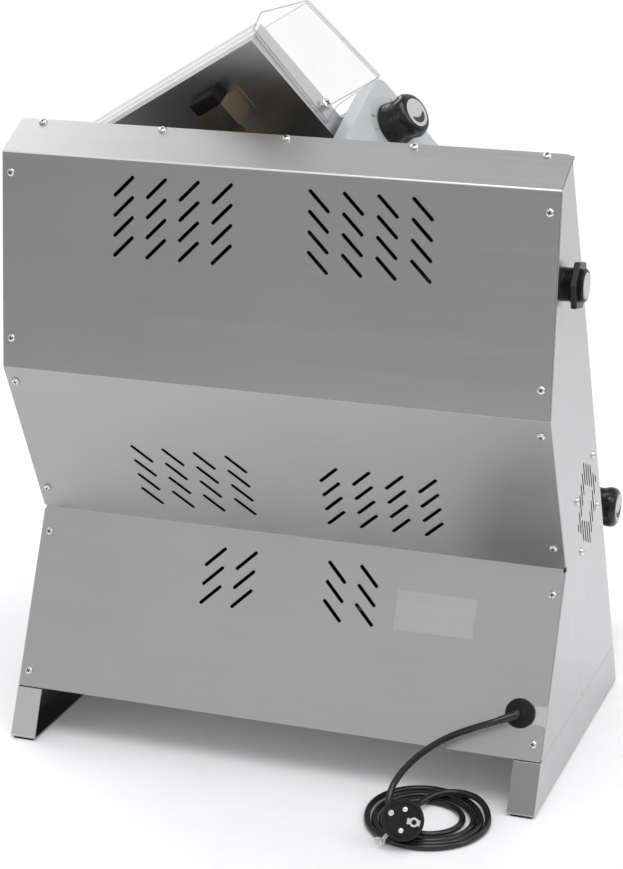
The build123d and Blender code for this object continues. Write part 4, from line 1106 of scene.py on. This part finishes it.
# Clear guards
def add_clear_plate(mesh, place, outline, bevel_finish):
    """Sheet of the guard's thickness with bevelled edges: a painted highlight on the edge band, and
    the given finish, painted highlight or painted shade, on the bevels.
    """
    add_layers(mesh, place, outline, [
        (0.0, GUARD_BEVEL, PLAIN), (GUARD_BEVEL, 0.0, bevel_finish),
        (GUARD_THICK - GUARD_BEVEL, 0.0, EDGE), (GUARD_THICK, GUARD_BEVEL, bevel_finish)])


def make_guard(name):
    """Two side walls, the front sheet and, on the upper guard, the strip at the chute's top."""
    inner = UNIT_HALF[name] - GUARD_INSET
    wall, strip = ([(y * MM, z * MM) for y, z in shape[name]]
                   for shape in (GUARD_WALL, GUARD_STRIP))
    wall_turn = Matrix(((0, 0, 1, 0), (1, 0, 0, 0), (0, 1, 0, 0), (0, 0, 0, 1)))
    across = Vector((1, 0, 0))
    guard = bmesh.new()
    for start in (-inner - GUARD_THICK, inner):
        place = moved(unit_frame(name), start) @ wall_turn
        add_clear_plate(guard, place, eased(wall, WALL_CORNER), BEVEL)
    for first, last, bevel_finish in [(*wall[2:4], BEVEL)] + ([(*strip, EDGE)] if strip else []):
        start, end = Vector((0, *first)), Vector((0, *last))
        place = unit_frame(name) @ spot_frame((start + end) / 2, across, across.cross(end - start))
        sheet = rounded_rectangle(2 * inner, (end - start).length, SHEET_CORNER, steps=2)
        add_clear_plate(guard, place, sheet, bevel_finish)
    piece = make_piece(f"{name}_guard_sheet", guard, "guard_clear", f"{name}_guard_set",
                       others=("guard_edge_painted_highlight", "guard_bevel_painted_shade"))
    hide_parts(f"{name}_guard")


make_switch_sleeve()
make_blank_plate()
for unit_name in UNIT_HALF:
    make_knob(unit_name)
    make_cap_crescent_shade(unit_name)
    make_dial(unit_name)
    make_bumper(unit_name)
    make_guard(unit_name)


# Floor, light and background
def make_floor():
    """Pale floor that shows itself a little brighter to the camera, mirrors and clear sheets."""
    data = bpy.data.meshes.new("floor")
    shape = bmesh.new()
    bmesh.ops.create_circle(shape, cap_ends=True, segments=96, radius=FLOOR_R)
    bmesh.ops.translate(shape, verts=shape.verts, vec=(0, FLOOR_Y, 0))
    shape.to_mesh(data)
    shape.free()
    tree, shader = new_finish("studio_floor", Roughness=0.55, Specular_IOR_Level=0.25,
                              Emission_Color=(1, 1, 1, 1))
    grain = add_group(tree, MOULDED_GRAIN, Size=FLOOR_GRAIN)
    rays = tree.nodes.new("ShaderNodeLightPath").outputs
    mirrored = math_node(tree, "MAXIMUM", rays["Is Glossy Ray"], rays["Is Transmission Ray"])
    seen = math_node(tree, "MAXIMUM", rays["Is Camera Ray"], mirrored)
    feed(tree, shader, Base_Color=two_tone(tree, spread(tree, grain["Gloss"]), *FLOOR_TONES),
         Emission_Strength=math_node(tree, "MULTIPLY", seen, FLOOR_LIFT))
    data.materials.append(FINISH["studio_floor"])
    add_object("floor", data)


def make_world():
    """White toward the front, where the photograph looks; soft greys behind the camera."""
    world = bpy.data.worlds.new("studio")
    bpy.context.scene.world = world
    world.use_nodes = True
    tree = world.node_tree
    tree.nodes.clear()
    parts = axis_parts(tree, tree.nodes.new("ShaderNodeTexCoord").outputs["Generated"])
    height = tree.nodes.new("ShaderNodeValToRGB")
    steps = height.color_ramp.elements
    steps.new(SKY_TONES[1][0])
    for step, (position, colour) in zip(steps, SKY_TONES):
        step.position = position
        step.color = colour
    put(tree, math_node(tree, "MULTIPLY_ADD", parts["Z"], 0.5, 0.5), height.inputs["Fac"])
    front = range_node(tree, math_node(tree, "MULTIPLY", parts["Y"], -1.0), *SKY_FRONT)
    front.interpolation_type = "SMOOTHSTEP"
    sky = mixed_colour(tree, front.outputs["Result"], height.outputs["Color"], SKY_WHITE)
    soft = tree.nodes.new("ShaderNodeBackground")
    put(tree, sky, soft.inputs["Color"])
    put(tree, soft.outputs[0], tree.nodes.new("ShaderNodeOutputWorld").inputs["Surface"])


def make_lamp(name, at, toward, size, power):
    data = bpy.data.lights.new(name, "AREA")
    data.shape = "DISK"
    data.size = size
    data.energy = power
    aim = (Vector(toward) - Vector(at)).to_track_quat("-Z", "Y").to_matrix().to_4x4()
    add_object(name, data, Matrix.Translation(at) @ aim)


make_floor()
make_world()
for lamp in LAMPS:
    make_lamp(*lamp)
bpy.context.scene.view_settings.view_transform = "Standard"
